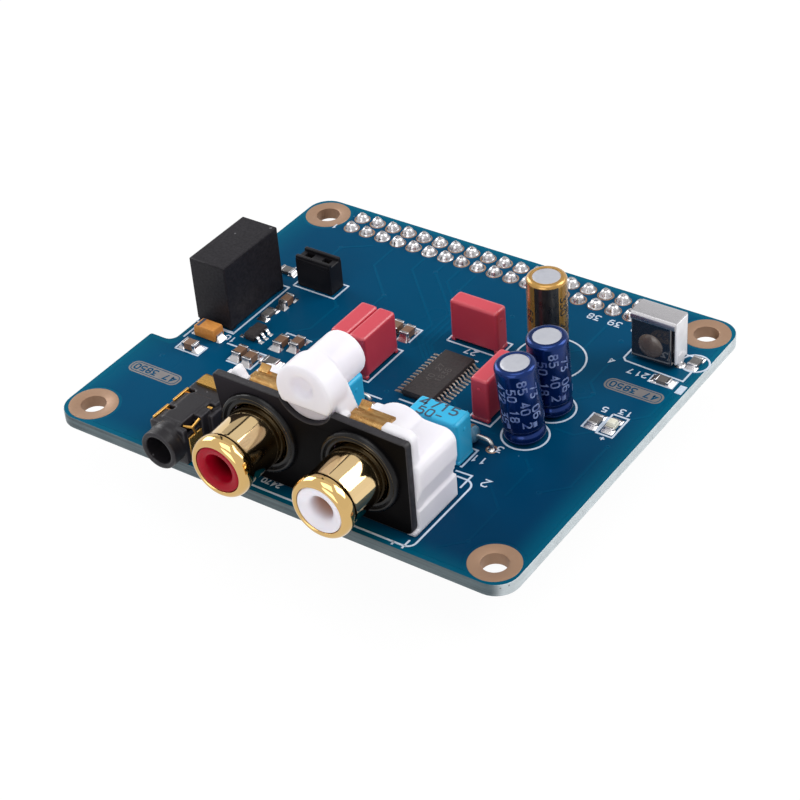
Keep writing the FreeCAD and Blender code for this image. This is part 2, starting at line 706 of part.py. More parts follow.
def jack_housing():
    """Black housing of the headphone socket: nose, body with a wider rear shoulder, contact slots."""
    body = box(JACK_LEFT, JACK_RIGHT, JACK_FRONT_Y, JACK_REAR_Y, 0, JACK_HEIGHT)
    shoulder_y = JACK_REAR_Y - JACK_SHOULDER_LENGTH
    shoulder_top = JACK_HEIGHT - JACK_SHOULDER_DROP
    shoulder = box(JACK_RIGHT, JACK_RIGHT + JACK_SHOULDER, shoulder_y, JACK_REAR_Y, 0, shoulder_top)
    nose_start = Vector(JACK_X, JACK_FRONT_Y - NOSE_LENGTH, NOSE_Z)
    nose = rod(NOSE_RADIUS, nose_start, Vector(JACK_X, JACK_FRONT_Y, NOSE_Z))
    rim = [edge for edge in edges_along(body, X_AXIS) if edge.CenterOfMass.z > JACK_HEIGHT - NEAR]
    body = body.makeChamfer(JACK_BEVEL, [edge for edge in rim if edge.CenterOfMass.y < JACK_REAR_Y - NEAR])
    housing = fused(body, shoulder, nose)
    tools = [rod(JACK_BORE_RADIUS, nose_start, nose_start + Y_AXIS * JACK_BORE_DEPTH)]
    inner = BLADE_THICKNESS + BLADE_SLACK
    for y0, y1 in blade_spans():
        tools.append(box(JACK_LEFT, JACK_LEFT + inner, y0 - BLADE_SLACK, y1 + BLADE_SLACK, 0, JACK_HEIGHT))
    y0, y1 = bracket_span()
    tongue = BRACKET_TONGUE + BLADE_SLACK
    low = JACK_HEIGHT - BLADE_THICKNESS - BLADE_SLACK
    tools.append(box(JACK_RIGHT - inner, JACK_RIGHT, y0 - BLADE_SLACK, y1 + BLADE_SLACK, 0, JACK_HEIGHT))
    tools.append(box(JACK_RIGHT - tongue, JACK_RIGHT, y0 - BLADE_SLACK, y1 + BLADE_SLACK, low, JACK_HEIGHT))
    return housing.cut(tools)


def jack_blade(index):
    """Gold blade standing in the left wall, its top edge just proud of the housing."""
    y0, y1 = blade_spans()[index]
    top = JACK_HEIGHT + BLADE_PROUD
    blade = box(JACK_LEFT, JACK_LEFT + BLADE_THICKNESS, y0, y1, 0, top)
    return fused(blade, jack_foot(*jack_feet()[index], 0))


def jack_bracket():
    """Gold bracket in the right wall with a tongue folded over the top."""
    y0, y1 = bracket_span()
    wall = box(JACK_RIGHT - BLADE_THICKNESS, JACK_RIGHT, y0, y1, 0, JACK_HEIGHT)
    low = JACK_HEIGHT - BLADE_THICKNESS
    tongue = box(JACK_RIGHT - BRACKET_TONGUE, JACK_RIGHT, y0, y1, low, JACK_HEIGHT)
    return fused(wall, tongue, jack_foot(*jack_feet()[2], 0))


def jack_rear_leaf():
    """Gold switch leaf: plate on the rear of the top and a riser behind the housing."""
    half = REAR_LEAF_WIDTH / 2
    back = JACK_REAR_Y + BLADE_SLACK
    top = JACK_HEIGHT + BLADE_THICKNESS
    plate = box(JACK_X - half, JACK_X + half, JACK_REAR_Y - REAR_LEAF_LENGTH, back, JACK_HEIGHT, top)
    riser = box(JACK_X - half, JACK_X + half, back, back + BLADE_THICKNESS, 0, top)
    return fused(plate, riser, jack_foot(*jack_feet()[3], 0))


def block_case():
    """Converter block's case, open below."""
    case = lying(BLOCK_X, BLOCK_Y, "Y", BLOCK_LENGTH, BLOCK_WIDTH, 0, BLOCK_HEIGHT)
    rim = [edge for edge in case.Edges if edge.CenterOfMass.z > BLOCK_HEIGHT - NEAR]
    case = case.makeChamfer(BLOCK_CHAMFER, rim + edges_along(case, Z_AXIS))
    length = BLOCK_LENGTH - 2 * BLOCK_WALL
    width = BLOCK_WIDTH - 2 * BLOCK_WALL
    return case.cut(lying(BLOCK_X, BLOCK_Y, "Y", length, width, 0, BLOCK_HEIGHT - BLOCK_WALL))


def block_potting():
    """Resin that fills the case to just short of its rim."""
    length = BLOCK_LENGTH - 2 * BLOCK_WALL
    width = BLOCK_WIDTH - 2 * BLOCK_WALL
    return lying(BLOCK_X, BLOCK_Y, "Y", length, width, POTTING_RECESS, BLOCK_HEIGHT - BLOCK_WALL)


def flat_pins(places, top):
    """Row of flat pins from a height down through the board."""
    pins = []
    for x, y in places:
        pins.append(lying(x, y, "X", FLAT_PIN_WIDTH, FLAT_PIN_THICKNESS, LEAD_END_Z, top))
    return Part.makeCompound(pins)


def strip_housing():
    """Two-way socket strip with a groove along its top."""
    inner = STRIP_WAYS * PIN_PITCH
    body = lying(STRIP_X, STRIP_Y, "X", inner + 2 * STRIP_END_WALL, STRIP_DEPTH, 0, STRIP_HEIGHT)
    floor = STRIP_HEIGHT - STRIP_GROOVE_DEPTH
    groove = lying(STRIP_X, STRIP_Y, "X", inner, STRIP_GROOVE_WIDTH, floor, STRIP_HEIGHT)
    slots = [lying(x, y, "X", SOCKET_SLOT, SOCKET_SLOT, 0, STRIP_HEIGHT) for x, y in strip_places()]
    return body.cut([groove] + slots)


def strip_contacts():
    """Contacts of the socket strip, their tails through the board."""
    end = STRIP_HEIGHT - STRIP_GROOVE_DEPTH - LEAF_END
    return Part.makeCompound([leaf_contact(x, y, LEAD_END_Z, end) for x, y in strip_places()])


def shield_tab_places():
    """Middle of each side wall of the receiver's shield."""
    half = (RECEIVER_WIDTH - SHIELD_SHEET) / 2
    return RECEIVER_X - half, RECEIVER_X + half


def shield_tab(x):
    """Side tab of the shield, tapering to the foot in the board."""
    half = TAB_WIDTH / 2
    foot = TAB_FOOT / 2
    y = RECEIVER_MIDDLE_Y
    outline = (
        (y - half, RECEIVER_BOTTOM),
        (y - foot, 0),
        (y - foot, LEAD_END_Z),
        (y + foot, LEAD_END_Z),
        (y + foot, 0),
        (y + half, RECEIVER_BOTTOM),
    )
    points = [Vector(x - SHIELD_SHEET / 2, py, pz) for py, pz in outline]
    return face_of(points).extrude(Vector(SHIELD_SHEET, 0, 0))


def receiver_shield():
    """Folded tin shield: open below, window in front with a rim, a tab on each side."""
    half = RECEIVER_WIDTH / 2
    x0 = RECEIVER_X - half
    x1 = RECEIVER_X + half
    outer = box(x0, x1, RECEIVER_FRONT_Y, RECEIVER_REAR_Y, RECEIVER_BOTTOM, RECEIVER_TOP)
    rim = [edge for edge in edges_along(outer, X_AXIS) if edge.CenterOfMass.z > RECEIVER_TOP - NEAR]
    outer = outer.makeChamfer(SHIELD_BEVEL, [edge for edge in rim if edge.CenterOfMass.y < RECEIVER_MIDDLE_Y])
    sheet = SHIELD_SHEET
    y0 = RECEIVER_FRONT_Y + sheet
    y1 = RECEIVER_REAR_Y - sheet
    top = RECEIVER_TOP - sheet
    inner = box(x0 + sheet, x1 - sheet, y0, y1, RECEIVER_BOTTOM, top)
    rim = sheet + SHIELD_RIM
    window_top = RECEIVER_TOP - rim
    window = box(x0 + rim, x1 - rim, RECEIVER_FRONT_Y, y0, RECEIVER_BOTTOM, window_top)
    tabs = [shield_tab(x) for x in shield_tab_places()]
    return fused(outer.cut([inner, window]), *tabs)


def receiver_body():
    """Dark epoxy body of the receiver with its lens in the shield's window."""
    inset = SHIELD_SHEET + SHIELD_FIT
    half = RECEIVER_WIDTH / 2 - inset
    y0 = RECEIVER_FRONT_Y + inset
    y1 = RECEIVER_REAR_Y - inset
    top = RECEIVER_TOP - inset
    body = box(RECEIVER_X - half, RECEIVER_X + half, y0, y1, RECEIVER_BOTTOM, top)
    lens_end = Vector(RECEIVER_X, y0 - LENS_PROUD, LENS_Z)
    return fused(body, rod(LENS_RADIUS, Vector(RECEIVER_X, y0, LENS_Z), lens_end))


def film_box(x, y, along, depth, height):
    """Box film capacitor: bevelled edges and a foot at each end."""
    body = lying(x, y, along, FILM_LENGTH, depth, 0, height)
    rim = [edge for edge in body.Edges if edge.CenterOfMass.z > height - NEAR]
    body = body.makeChamfer(FILM_EDGE, rim + edges_along(body, Z_AXIS))
    return body.cut(lying(x, y, along, FILM_LENGTH - 2 * FILM_FOOT_LENGTH, depth, 0, FILM_FOOT))


def film_leads():
    """Leads of the film capacitors."""
    return Part.makeCompound([wire(x, y, FILM_FOOT) for x, y in film_lead_places()])


def leaned(shape, x, y, lean, heading):
    """Shape tipped about its foot by a lean, towards a heading in the board's plane."""
    if lean:
        direction = math.radians(heading)
        hinge = Vector(-math.sin(direction), math.cos(direction), 0)
        shape.rotate(Vector(x, y, CAN_STANDOFF), hinge, lean)
    return shape


def electrolytic(x, y, height, lean, heading):
    """Sleeved can of an electrolytic, with the crimp above its base."""
    waist = CAN_RADIUS - CRIMP_DEPTH
    profile = (
        (0, 0),
        (CAN_RADIUS, 0),
        (CAN_RADIUS, CRIMP_Z),
        (waist, CRIMP_Z),
        (waist, CRIMP_Z + CRIMP_WIDTH),
        (CAN_RADIUS, CRIMP_Z + CRIMP_WIDTH),
        (CAN_RADIUS, height),
        (0, height),
    )
    can = turned(profile, Vector(x, y, CAN_STANDOFF), Z_AXIS, X_AXIS)
    return leaned(can, x, y, lean, heading)


def can_leads():
    """Leads of the electrolytics, up to just below their bases."""
    leads = []
    places = can_lead_places()
    for x, y, height, lean, heading in ELECTROLYTICS:
        dip = (CAN_LEAD_PITCH + 2 * WIRE_SIDE) / 2 * math.tan(math.radians(lean))
        for _ in range(2):
            px, py = next(places)
            leads.append(wire(px, py, CAN_STANDOFF - dip))
    return Part.makeCompound(leads)


def drafted_block(x, y, width, length, z0, z1, draft):
    """Moulded package body with side walls that lean in to the top and bottom from a parting line."""
    middle = (z0 + z1) / 2
    wires = []
    for inset, z in ((draft, z0), (0, middle), (draft, z1)):
        half_x = width / 2 - inset
        half_y = length / 2 - inset
        corners = ((-half_x, -half_y), (half_x, -half_y), (half_x, half_y), (-half_x, half_y))
        points = [Vector(x + px, y + py, z) for px, py in corners]
        wires.append(Part.makePolygon(points + [points[0]]))
    return Part.makeLoft(wires, True, True)


def chip_body():
    """Converter chip's package with the pin-one dimple."""
    top = CHIP_STANDOFF + CHIP_HEIGHT
    body = drafted_block(CHIP_X, CHIP_Y, CHIP_WIDTH, CHIP_LENGTH, CHIP_STANDOFF, top, CHIP_DRAFT)
    x = CHIP_X - CHIP_WIDTH / 2 + DIMPLE_INSET
    y = CHIP_Y - CHIP_LENGTH / 2 + DIMPLE_INSET
    ring = small_ring(Vector(x, y, top - DIMPLE_DEPTH), DIMPLE_RADIUS, X_AXIS, Y_AXIS)
    return body.cut(face_of(ring).extrude(Vector(0, 0, DIMPLE_DEPTH)))


def gull_lead(x, y, outward, reach, middle_z, width):
    """Gull-wing lead: from a package wall at x, down and out to a foot on the board."""
    half = LEAD_SHEET / 2
    heel = reach / 2
    outline = (
        (0, middle_z - half),
        (heel, 0),
        (reach, 0),
        (reach, LEAD_SHEET),
        (heel + half, LEAD_SHEET),
        (0, middle_z + half),
    )
    points = [Vector(x + outward * px, y - width / 2, pz) for px, pz in outline]
    return face_of(points).extrude(Vector(0, width, 0))


def chip_leads():
    """Both rows of the converter chip's leads."""
    reach = (CHIP_SPAN - CHIP_WIDTH) / 2
    middle_z = CHIP_STANDOFF + CHIP_HEIGHT / 2
    leads = []
    for i in range(CHIP_ROW_LEADS):
        y = CHIP_Y + (i - (CHIP_ROW_LEADS - 1) / 2) * CHIP_LEAD_PITCH
        for side in (-1, 1):
            x = CHIP_X + side * CHIP_WIDTH / 2
            leads.append(gull_lead(x, y, side, reach, middle_z, CHIP_LEAD_WIDTH))
    return Part.makeCompound(leads)


def regulator_body():
    """Regulator's package."""
    top = CHIP_STANDOFF + REGULATOR_HEIGHT
    length = REGULATOR_LENGTH
    return drafted_block(REGULATOR_X, REGULATOR_Y, REGULATOR_WIDTH, length, CHIP_STANDOFF, top, CHIP_DRAFT)


def regulator_leads():
    """Three leads on one side of the regulator and two on the other."""
    reach = (REGULATOR_SPAN - REGULATOR_WIDTH) / 2
    middle_z = CHIP_STANDOFF + REGULATOR_HEIGHT / 2
    half = REGULATOR_WIDTH / 2
    leads = []
    for side, steps in ((-1, (-1, 1)), (1, (-1, 0, 1))):
        for step in steps:
            y = REGULATOR_Y + step * REGULATOR_PITCH
            x = REGULATOR_X + side * half
            leads.append(gull_lead(x, y, side, reach, middle_z, REGULATOR_LEAD_WIDTH))
    return Part.makeCompound(leads)


def tantalum_body():
    """Tantalum capacitor's case with the bevelled positive end."""
    x0 = TANTALUM_X - TANTALUM_LENGTH / 2
    x1 = TANTALUM_X + TANTALUM_LENGTH / 2
    low = TERMINAL_SHEET
    high = TANTALUM_HEIGHT
    outline = ((x0, low), (x1, low), (x1, high), (x0 + TANTALUM_BEVEL, high), (x0, high - TANTALUM_BEVEL))
    y0 = TANTALUM_Y - TANTALUM_WIDTH / 2
    return face_of([Vector(px, y0, pz) for px, pz in outline]).extrude(Vector(0, TANTALUM_WIDTH, 0))


def tantalum_terminals():
    """Folded terminals under both ends of the tantalum capacitor."""
    half = TERMINAL_WIDTH / 2
    sheet = TERMINAL_SHEET
    terminals = []
    for side in (-1, 1):
        end = TANTALUM_X + side * TANTALUM_LENGTH / 2
        outline = (
            (end - side * SMD_CAP_LENGTH * 2, 0),
            (end + side * sheet, 0),
            (end + side * sheet, TANTALUM_HEIGHT / 2),
            (end, TANTALUM_HEIGHT / 2),
            (end, sheet),
            (end - side * SMD_CAP_LENGTH * 2, sheet),
        )
        points = [Vector(px, TANTALUM_Y - half, pz) for px, pz in outline]
        terminals.append(face_of(points).extrude(Vector(0, TERMINAL_WIDTH, 0)))
    return Part.makeCompound(terminals)


def smd_bodies(places, height):
    """Bodies of chip parts between their end caps."""
    length = SMD_LENGTH - 2 * SMD_CAP_LENGTH
    low = SMD_CAP_LIP
    high = low + height
    return Part.makeCompound([lying(x, y, along, length, SMD_WIDTH, low, high) for x, y, along in places])


def smd_caps():
    """Tinned end caps of every chip part and of the LED."""
    caps = []
    middle = (SMD_LENGTH - SMD_CAP_LENGTH) / 2
    width = SMD_WIDTH + 2 * SMD_CAP_LIP
    groups = ((CERAMICS, CERAMIC_HEIGHT), (RESISTORS, RESISTOR_HEIGHT), (((LED_X, LED_Y, "Y"),), LED_BASE))
    for places, height in groups:
        for x, y, along in places:
            for side in (-1, 1):
                px, py = offset_along(x, y, along, side * middle)
                caps.append(lying(px, py, along, SMD_CAP_LENGTH, width, 0, height + 2 * SMD_CAP_LIP))
    return Part.makeCompound(caps)


def led():
    """Status LED: base between the end caps and a tapered lens."""
    length = SMD_LENGTH - 2 * SMD_CAP_LENGTH
    top = SMD_CAP_LIP + LED_BASE
    base = lying(LED_X, LED_Y, "Y", length, SMD_WIDTH, SMD_CAP_LIP, top)
    wires = []
    for inset, z in ((0, top), (LED_LENS_DRAFT, top + LED_LENS_HEIGHT)):
        half_x = SMD_WIDTH / 2 - inset
        half_y = length / 2 - inset
        corners = ((-half_x, -half_y), (half_x, -half_y), (half_x, half_y), (-half_x, half_y))
        points = [Vector(LED_X + px, LED_Y + py, z) for px, py in corners]
        wires.append(Part.makePolygon(points + [points[0]]))
    return fused(base, Part.makeLoft(wires, True, True))


def axial_body(x):
    """Axial resistor's body."""
    half = AXIAL_LENGTH / 2
    return rod(AXIAL_RADIUS, Vector(x - half, AXIAL_Y, AXIAL_Z), Vector(x + half, AXIAL_Y, AXIAL_Z))


def axial_lead(x, side):
    """Lead from one end of an axial resistor, bent down through the board."""
    half = WIRE_SIDE / 2
    start = x + side * AXIAL_LENGTH / 2
    end = x + side * AXIAL_PITCH / 2
    top = AXIAL_Z + half
    outline = (
        (start, top),
        (end + side * (half - AXIAL_BEND), top),
        (end + side * half, top - AXIAL_BEND),
        (end + side * half, LEAD_END_Z),
        (end - side * half, LEAD_END_Z),
        (end - side * half, top - AXIAL_BEND),
        (end + side * (half - AXIAL_BEND), AXIAL_Z - half),
        (start, AXIAL_Z - half),
    )
    points = [Vector(px, AXIAL_Y - half, pz) for px, pz in outline]
    return face_of(points).extrude(Vector(0, WIRE_SIDE, 0))


def axial_leads():
    """Leads of both axial resistors."""
    return Part.makeCompound([axial_lead(x, side) for x in AXIAL_CENTRES for side in (-1, 1)])


def numbered(name, shapes):
    """Like pieces as separate nodes with a number."""
    return {f"{name}_{i}": shape for i, shape in enumerate(shapes, 1)}


def pieces():
    """Every sub-part by its node name."""
    left, right = PHONO_AXES
    parts = {
        "circuit_board": board(),
        "header_socket_housing": header_housing(),
        "header_socket_contacts": header_contacts(),
        "header_solder_joints": header_joints(),
        "phono_housing": phono_housing(),
        "phono_front_plate": phono_plate(),
        "phono_shell_red": phono_shell(left),
        "phono_shell_white": phono_shell(right),
        "phono_insert_red": phono_insert(left),
        "phono_insert_white": phono_insert(right),
        "phono_centre_contact_red": phono_contact(left),
        "phono_centre_contact_white": phono_contact(right),
        "phono_earth_strap_red": phono_strap(left),
        "phono_earth_strap_white": phono_strap(right),
        "headphone_housing": jack_housing(),
        "headphone_sleeve_blade": jack_blade(0),
        "headphone_ring_blade": jack_blade(1),
        "headphone_tip_bracket": jack_bracket(),
        "headphone_switch_leaf": jack_rear_leaf(),
        "converter_block_case": block_case(),
        "converter_block_potting": block_potting(),
        "converter_block_pins": flat_pins(block_places(), POTTING_RECESS),
        "socket_strip_housing": strip_housing(),
        "socket_strip_contacts": strip_contacts(),
        "receiver_shield": receiver_shield(),
        "receiver_body": receiver_body(),
        "receiver_leads": flat_pins(receiver_places(), RECEIVER_BOTTOM),
        "film_capacitor_leads": film_leads(),
        "electrolytic_leads": can_leads(),
        "converter_chip_body": chip_body(),
        "converter_chip_leads": chip_leads(),
        "regulator_body": regulator_body(),
        "regulator_leads": regulator_leads(),
        "tantalum_body": tantalum_body(),
        "tantalum_terminals": tantalum_terminals(),
        "ceramic_capacitor_bodies": smd_bodies(CERAMICS, CERAMIC_HEIGHT),
        "chip_resistor_bodies": smd_bodies(RESISTORS, RESISTOR_HEIGHT),
        "chip_end_caps": smd_caps(),
        "status_led": led(),
        "axial_resistor_leads": axial_leads(),
    }
    red = [film_box(x, y, along, FILM_DEPTH, FILM_HEIGHT) for x, y, along in RED_FILMS]
    blue = [film_box(x, y, along, WIDE_FILM_DEPTH, WIDE_FILM_HEIGHT) for x, y, along in BLUE_FILMS]
    parts.update(numbered("film_capacitor_red", red))
    parts.update(numbered("film_capacitor_blue", blue))
    parts.update(numbered("electrolytic", [electrolytic(*place) for place in ELECTROLYTICS]))
    parts.update(numbered("axial_resistor_body", [axial_body(x) for x in AXIAL_CENTRES]))
    return parts


def main():
    os.makedirs("parts", exist_ok=True)
    for name, shape in pieces().items():
        shape.exportStep(os.path.join("parts", name + ".step"))


main()
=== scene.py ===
import math
import random

import bmesh
import bpy
import numpy as np
from bpy.props import FloatProperty, FloatVectorProperty, PointerProperty
from mathutils import Matrix, Vector


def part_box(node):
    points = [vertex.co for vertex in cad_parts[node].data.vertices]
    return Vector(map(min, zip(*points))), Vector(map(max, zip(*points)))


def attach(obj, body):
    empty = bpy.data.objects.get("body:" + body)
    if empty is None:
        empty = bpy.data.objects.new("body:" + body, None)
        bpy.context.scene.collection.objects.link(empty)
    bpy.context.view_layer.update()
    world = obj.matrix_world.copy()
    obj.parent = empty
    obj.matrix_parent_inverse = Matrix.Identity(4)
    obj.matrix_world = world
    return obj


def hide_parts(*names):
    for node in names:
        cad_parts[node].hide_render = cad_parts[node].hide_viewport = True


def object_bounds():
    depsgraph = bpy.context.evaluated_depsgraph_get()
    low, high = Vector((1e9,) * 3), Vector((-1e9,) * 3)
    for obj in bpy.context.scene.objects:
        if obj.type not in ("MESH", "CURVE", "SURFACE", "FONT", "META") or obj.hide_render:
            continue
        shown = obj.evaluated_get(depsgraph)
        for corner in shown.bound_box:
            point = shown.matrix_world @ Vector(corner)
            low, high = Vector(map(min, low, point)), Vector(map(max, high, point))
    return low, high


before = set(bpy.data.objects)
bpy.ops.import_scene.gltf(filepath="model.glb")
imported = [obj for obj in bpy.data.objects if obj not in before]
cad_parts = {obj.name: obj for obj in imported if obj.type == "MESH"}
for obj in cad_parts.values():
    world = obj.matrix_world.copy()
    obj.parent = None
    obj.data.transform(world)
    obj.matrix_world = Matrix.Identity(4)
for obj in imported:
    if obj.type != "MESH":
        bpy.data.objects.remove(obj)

bl_info = {
    "name": "Audio converter board",
    "version": (1, 0, 0),
    "blender": (4, 5, 0),
    "location": "3D View > Sidebar > Converter board",
    "description": "Builds the looks of a populated audio converter board round its solids",
    "category": "Object",
}

CAD_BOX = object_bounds()
MM = 0.001

# Places on the board, millimetres, as in the solids
BOARD_THICKNESS = 1.6
LEAD_END = -2.6
PLATE_FRONT = -25.6
PHONO_AXES = (-1.5, 12.5)
PHONO_Z = 7.0
BOSS_X = 5.5
BOSS_Z = 15.0
JACK_X = -13.7
PITCH = 2.54
HEADER_X = [(i - 9.5) * PITCH for i in range(20)]
HEADER_Y = (23.23, 25.77)
MOUNTS = ((-29.0, -24.5), (29.0, -24.5), (29.0, 24.5), (-29.0, 24.5))
CERAMICS = (
    (-25.8, -9.4, "X"), (-19.3, -7.6, "Y"), (-17.4, -7.9, "Y"), (-16.1, -3.3, "Y"),
    (-14.1, -2.5, "Y"), (-3.3, 6.2, "Y"), (-5.2, 6.4, "Y"), (-21.0, 4.4, "Y"),
)
RESISTORS = (
    (-21.6, 1.2, "Y"), (-14.9, -7.0, "X"), (26.0, 2.4, "Y"), (29.1, 13.2, "X"),
    (30.75, 18.3, "Y"), (-25.4, 10.4, "X"),
)
LED = (28.15, 2.65, "Y")
CONVERTER = (5.35, 0.2)
REGULATOR = (-20.2, -3.2)
# Place, height, lean and the lean's heading
CANS = ((20.14, -3.77, 10.4, 5.0, 217.0), (20.26, 2.18, 10.4, 2.3, 217.0), (14.1, 11.5, 11.2, 0.0, 0.0))
FILM_LEADS = (
    (-6.15, -3.2), (-6.15, 1.8), (-3.55, -3.2), (-3.55, 1.8), (2.9, 9.3), (7.9, 9.3),
    (14.1, -3.2), (14.1, 1.8), (-4.6, -10.95), (0.4, -10.95), (10.6, -10.95), (15.6, -10.95),
)
CAN_LEADS = tuple((x + side, y) for x, y, *_ in CANS for side in (-1, 1))
AXIAL_MIDDLES = (-4.2, 13.1)
AXIAL_Y = -8.0
AXIAL_REACH = 5.08
AXIAL_LEADS = tuple((x + side * AXIAL_REACH, AXIAL_Y) for x in AXIAL_MIDDLES for side in (-1, 1))
BLOCK_PINS = tuple((-26.2, -2.26 + i * PITCH) for i in range(4))
STRIP_PINS = tuple((-20.82 + i * PITCH, 9.85) for i in range(2))
RECEIVER_PINS = ((25.0, 17.2), (26.6, 17.2), (28.2, 17.2), (23.95, 17.2), (29.25, 17.2))
JACK_FEET = ((-16.08, -26.1), (-16.08, -22.4), (-11.33, -26.0), (-13.7, -17.8))
PHONO_FEET = tuple((x, y) for y in (-23.8, -21.2) for x in PHONO_AXES)

# Plain strokes of the printed marks, in a box one wide and one and a half high
STROKE_BOX_HEIGHT = 1.5
STROKE_STEP = 0.3
STROKES = {
    "0": (((0.2, 0), (0.8, 0), (1, 0.3), (1, 1.2), (0.8, 1.5), (0.2, 1.5), (0, 1.2), (0, 0.3), (0.2, 0)),),
    "1": (((0.2, 1.2), (0.55, 1.5), (0.55, 0)),),
    "2": (((0, 1.2), (0.2, 1.5), (0.8, 1.5), (1, 1.2), (1, 0.95), (0, 0), (1, 0)),),
    "3": (((0, 1.5), (0.95, 1.5), (0.45, 0.9), (0.8, 0.85), (1, 0.6), (1, 0.25), (0.75, 0), (0.2, 0), (0, 0.2)),),
    "4": (((0.75, 0), (0.75, 1.5), (0, 0.45), (1, 0.45)),),
    "5": (((0.95, 1.5), (0.1, 1.5), (0.05, 0.85), (0.7, 0.9), (1, 0.65), (1, 0.25), (0.75, 0), (0.2, 0), (0, 0.2)),),
    "6": (((0.9, 1.5), (0.3, 1.5), (0, 1.1), (0, 0.25), (0.2, 0), (0.8, 0), (1, 0.25), (1, 0.6), (0.8, 0.85),
           (0, 0.85)),),
    "7": (((0, 1.5), (1, 1.5), (0.4, 0)),),
    "8": (((0.2, 0.8), (0, 1.1), (0.2, 1.5), (0.8, 1.5), (1, 1.1), (0.8, 0.8), (0.2, 0.8), (0, 0.4), (0.2, 0),
           (0.8, 0), (1, 0.4), (0.8, 0.8)),),
    "9": (((0.1, 0), (0.7, 0), (1, 0.4), (1, 1.25), (0.8, 1.5), (0.2, 1.5), (0, 1.25), (0, 0.9), (0.2, 0.65),
           (1, 0.65)),),
    "+": (((0, 0.75), (1, 0.75)), ((0.5, 0.25), (0.5, 1.25))),
    "-": (((0, 0.75), (1, 0.75)),),
}


def tint(red, green, blue):
    """Scene-linear colour of screen values from 0 to 255."""
    return tuple(((v / 255 + 0.055) / 1.055) ** 2.4 if v > 10 else v / 255 / 12.92 for v in (red, green, blue))


def colour(label, about, value):
    """Colour that a user may change."""
    return FloatVectorProperty(name=label, description=about, subtype="COLOR", size=3, min=0, max=1, default=value)


def size(label, about, value):
    """Length that a user may change, given in millimetres."""
    return FloatProperty(name=label, description=about, unit="LENGTH", min=0, precision=5, default=value * MM)


def power(label, about, value):
    """Strength of a light that a user may change."""
    return FloatProperty(name=label, description=about, subtype="POWER", min=0, default=value)


class BoardLooks(bpy.types.PropertyGroup):
    """Sizes and colours of the bare board"""
    mask: colour("Lacquer", "Blue lacquer over the copper", tint(0, 72, 106))
    mask_deep: colour("Deep lacquer", "Darker clouds in the lacquer", tint(0, 58, 92))
    mask_edge: colour("Edge lacquer", "Lacquer over bare laminate along the edge", tint(0, 94, 120))
    laminate: colour("Laminate", "Cut edge of the glass laminate", tint(216, 226, 230))
    silk: colour("Screen print", "White print on the lacquer", tint(206, 216, 230))
    pad: colour("Plated pad", "Tinned copper round the mounting holes", tint(160, 128, 104))
    solder: colour("Solder", "Solder joints", tint(192, 190, 192))
    silk_line: size("Print line", "Width of the printed outlines", 0.24)
    pad_radius: size("Mounting pad", "Radius of the pads round the mounting holes", 3.1)
    joint_height: size("Solder joint", "Height of the joints over the header", 1.05)


class SocketLooks(bpy.types.PropertyGroup):
    """Colours of the sockets"""
    gold: colour("Gold plate", "Shells of the phono sockets", (0.80, 0.595, 0.32))
    gold_deep: colour("Deep gold", "Clouds in the gold plate", (0.74, 0.51, 0.24))
    # Painted dark reflection: the deeper gold that the lips get
    gold_lip: colour("Gold lip", "Rolled lips of the shells", (0.58, 0.37, 0.13))
    housing: colour("White moulding", "Housing of the phono pair", tint(240, 238, 244))
    plate: colour("Front plate", "Black plate of the phono pair", tint(9, 8, 9))
    red: colour("Red insert", "Insert of the red socket", tint(164, 4, 32))
    white: colour("White insert", "Insert of the white socket", tint(248, 244, 252))
    brass: colour("Brass strap", "Earth straps", tint(182, 134, 78))
    jack: colour("Headphone socket", "Charcoal housing of the headphone socket", tint(30, 28, 32))


class PartLooks(bpy.types.PropertyGroup):
    """Sizes and colours of the small parts"""
    film_red: colour("Red film box", "Red film capacitors", tint(203, 60, 76))
    film_blue: colour("Blue film box", "Light blue film capacitors", tint(52, 184, 228))
    sleeve_blue: colour("Blue sleeve", "Sleeves of the two small cans", tint(12, 46, 108))
    sleeve_gold: colour("Gold sleeve", "Sleeve of the tall can", tint(180, 136, 60))
    tantalum: colour("Amber case", "Tantalum capacitor", tint(192, 114, 40))
    shield: colour("Receiver shield", "Tinned shield of the receiver", tint(198, 196, 199))
    film_edge: size("Film box edge", "Rounding of the film boxes", 0.42)
    can_shoulder: size("Can shoulder", "Rounding at the top of the sleeves", 0.55)


class StudioLooks(bpy.types.PropertyGroup):
    """Backdrop and lights"""
    backdrop: colour("Backdrop", "Floor and surroundings", (1.0, 1.0, 1.0))
    key: power("Right softbox", "Power of the softbox behind on the right", 3.9)
    fill: power("Left softbox", "Power of the softbox behind on the left", 3.8)
    top: power("Overhead", "Power of the overhead light", 1.75)
    front: power("Front fill", "Power of the weak light in front", 1.7)
    ambient: FloatProperty(
        name="Ambient", description="Light from all round", subtype="FACTOR", min=0, max=1, default=0.28)


def looks(group):
    """The named group of looks of the scene."""
    return getattr(bpy.context.scene, group)


def new_object(name, data):
    """Object in the scene."""
    made = bpy.data.objects.new(name, data)
    bpy.context.scene.collection.objects.link(made)
    return made


# Shapes, in millimetres: each is a list of points and a list of faces

def shift(x, y, z):
    """Move by a distance."""
    return Matrix.Translation((x, y, z))


def turn(degrees, axis):
    """Turn about an axis through the origin."""
    return Matrix.Rotation(math.radians(degrees), 4, axis)


def forward(x, z, y=PLATE_FRONT):
    """Stands a shape that was made along Z on a front face, so that its Z points out to the front."""
    return shift(x, y, z) @ turn(90, "X")


def below(x, y):
    """Stands a shape upside down on the underside of the board."""
    return shift(x, y, -BOARD_THICKNESS) @ turn(180, "X")


def side_on(x):
    """Turns a bent strip so that its path runs along Y, with its middle at a place along X."""
    return shift(x, 0, 0) @ turn(90, "Z") @ Matrix.Scale(-1, 4, (0, 1, 0))


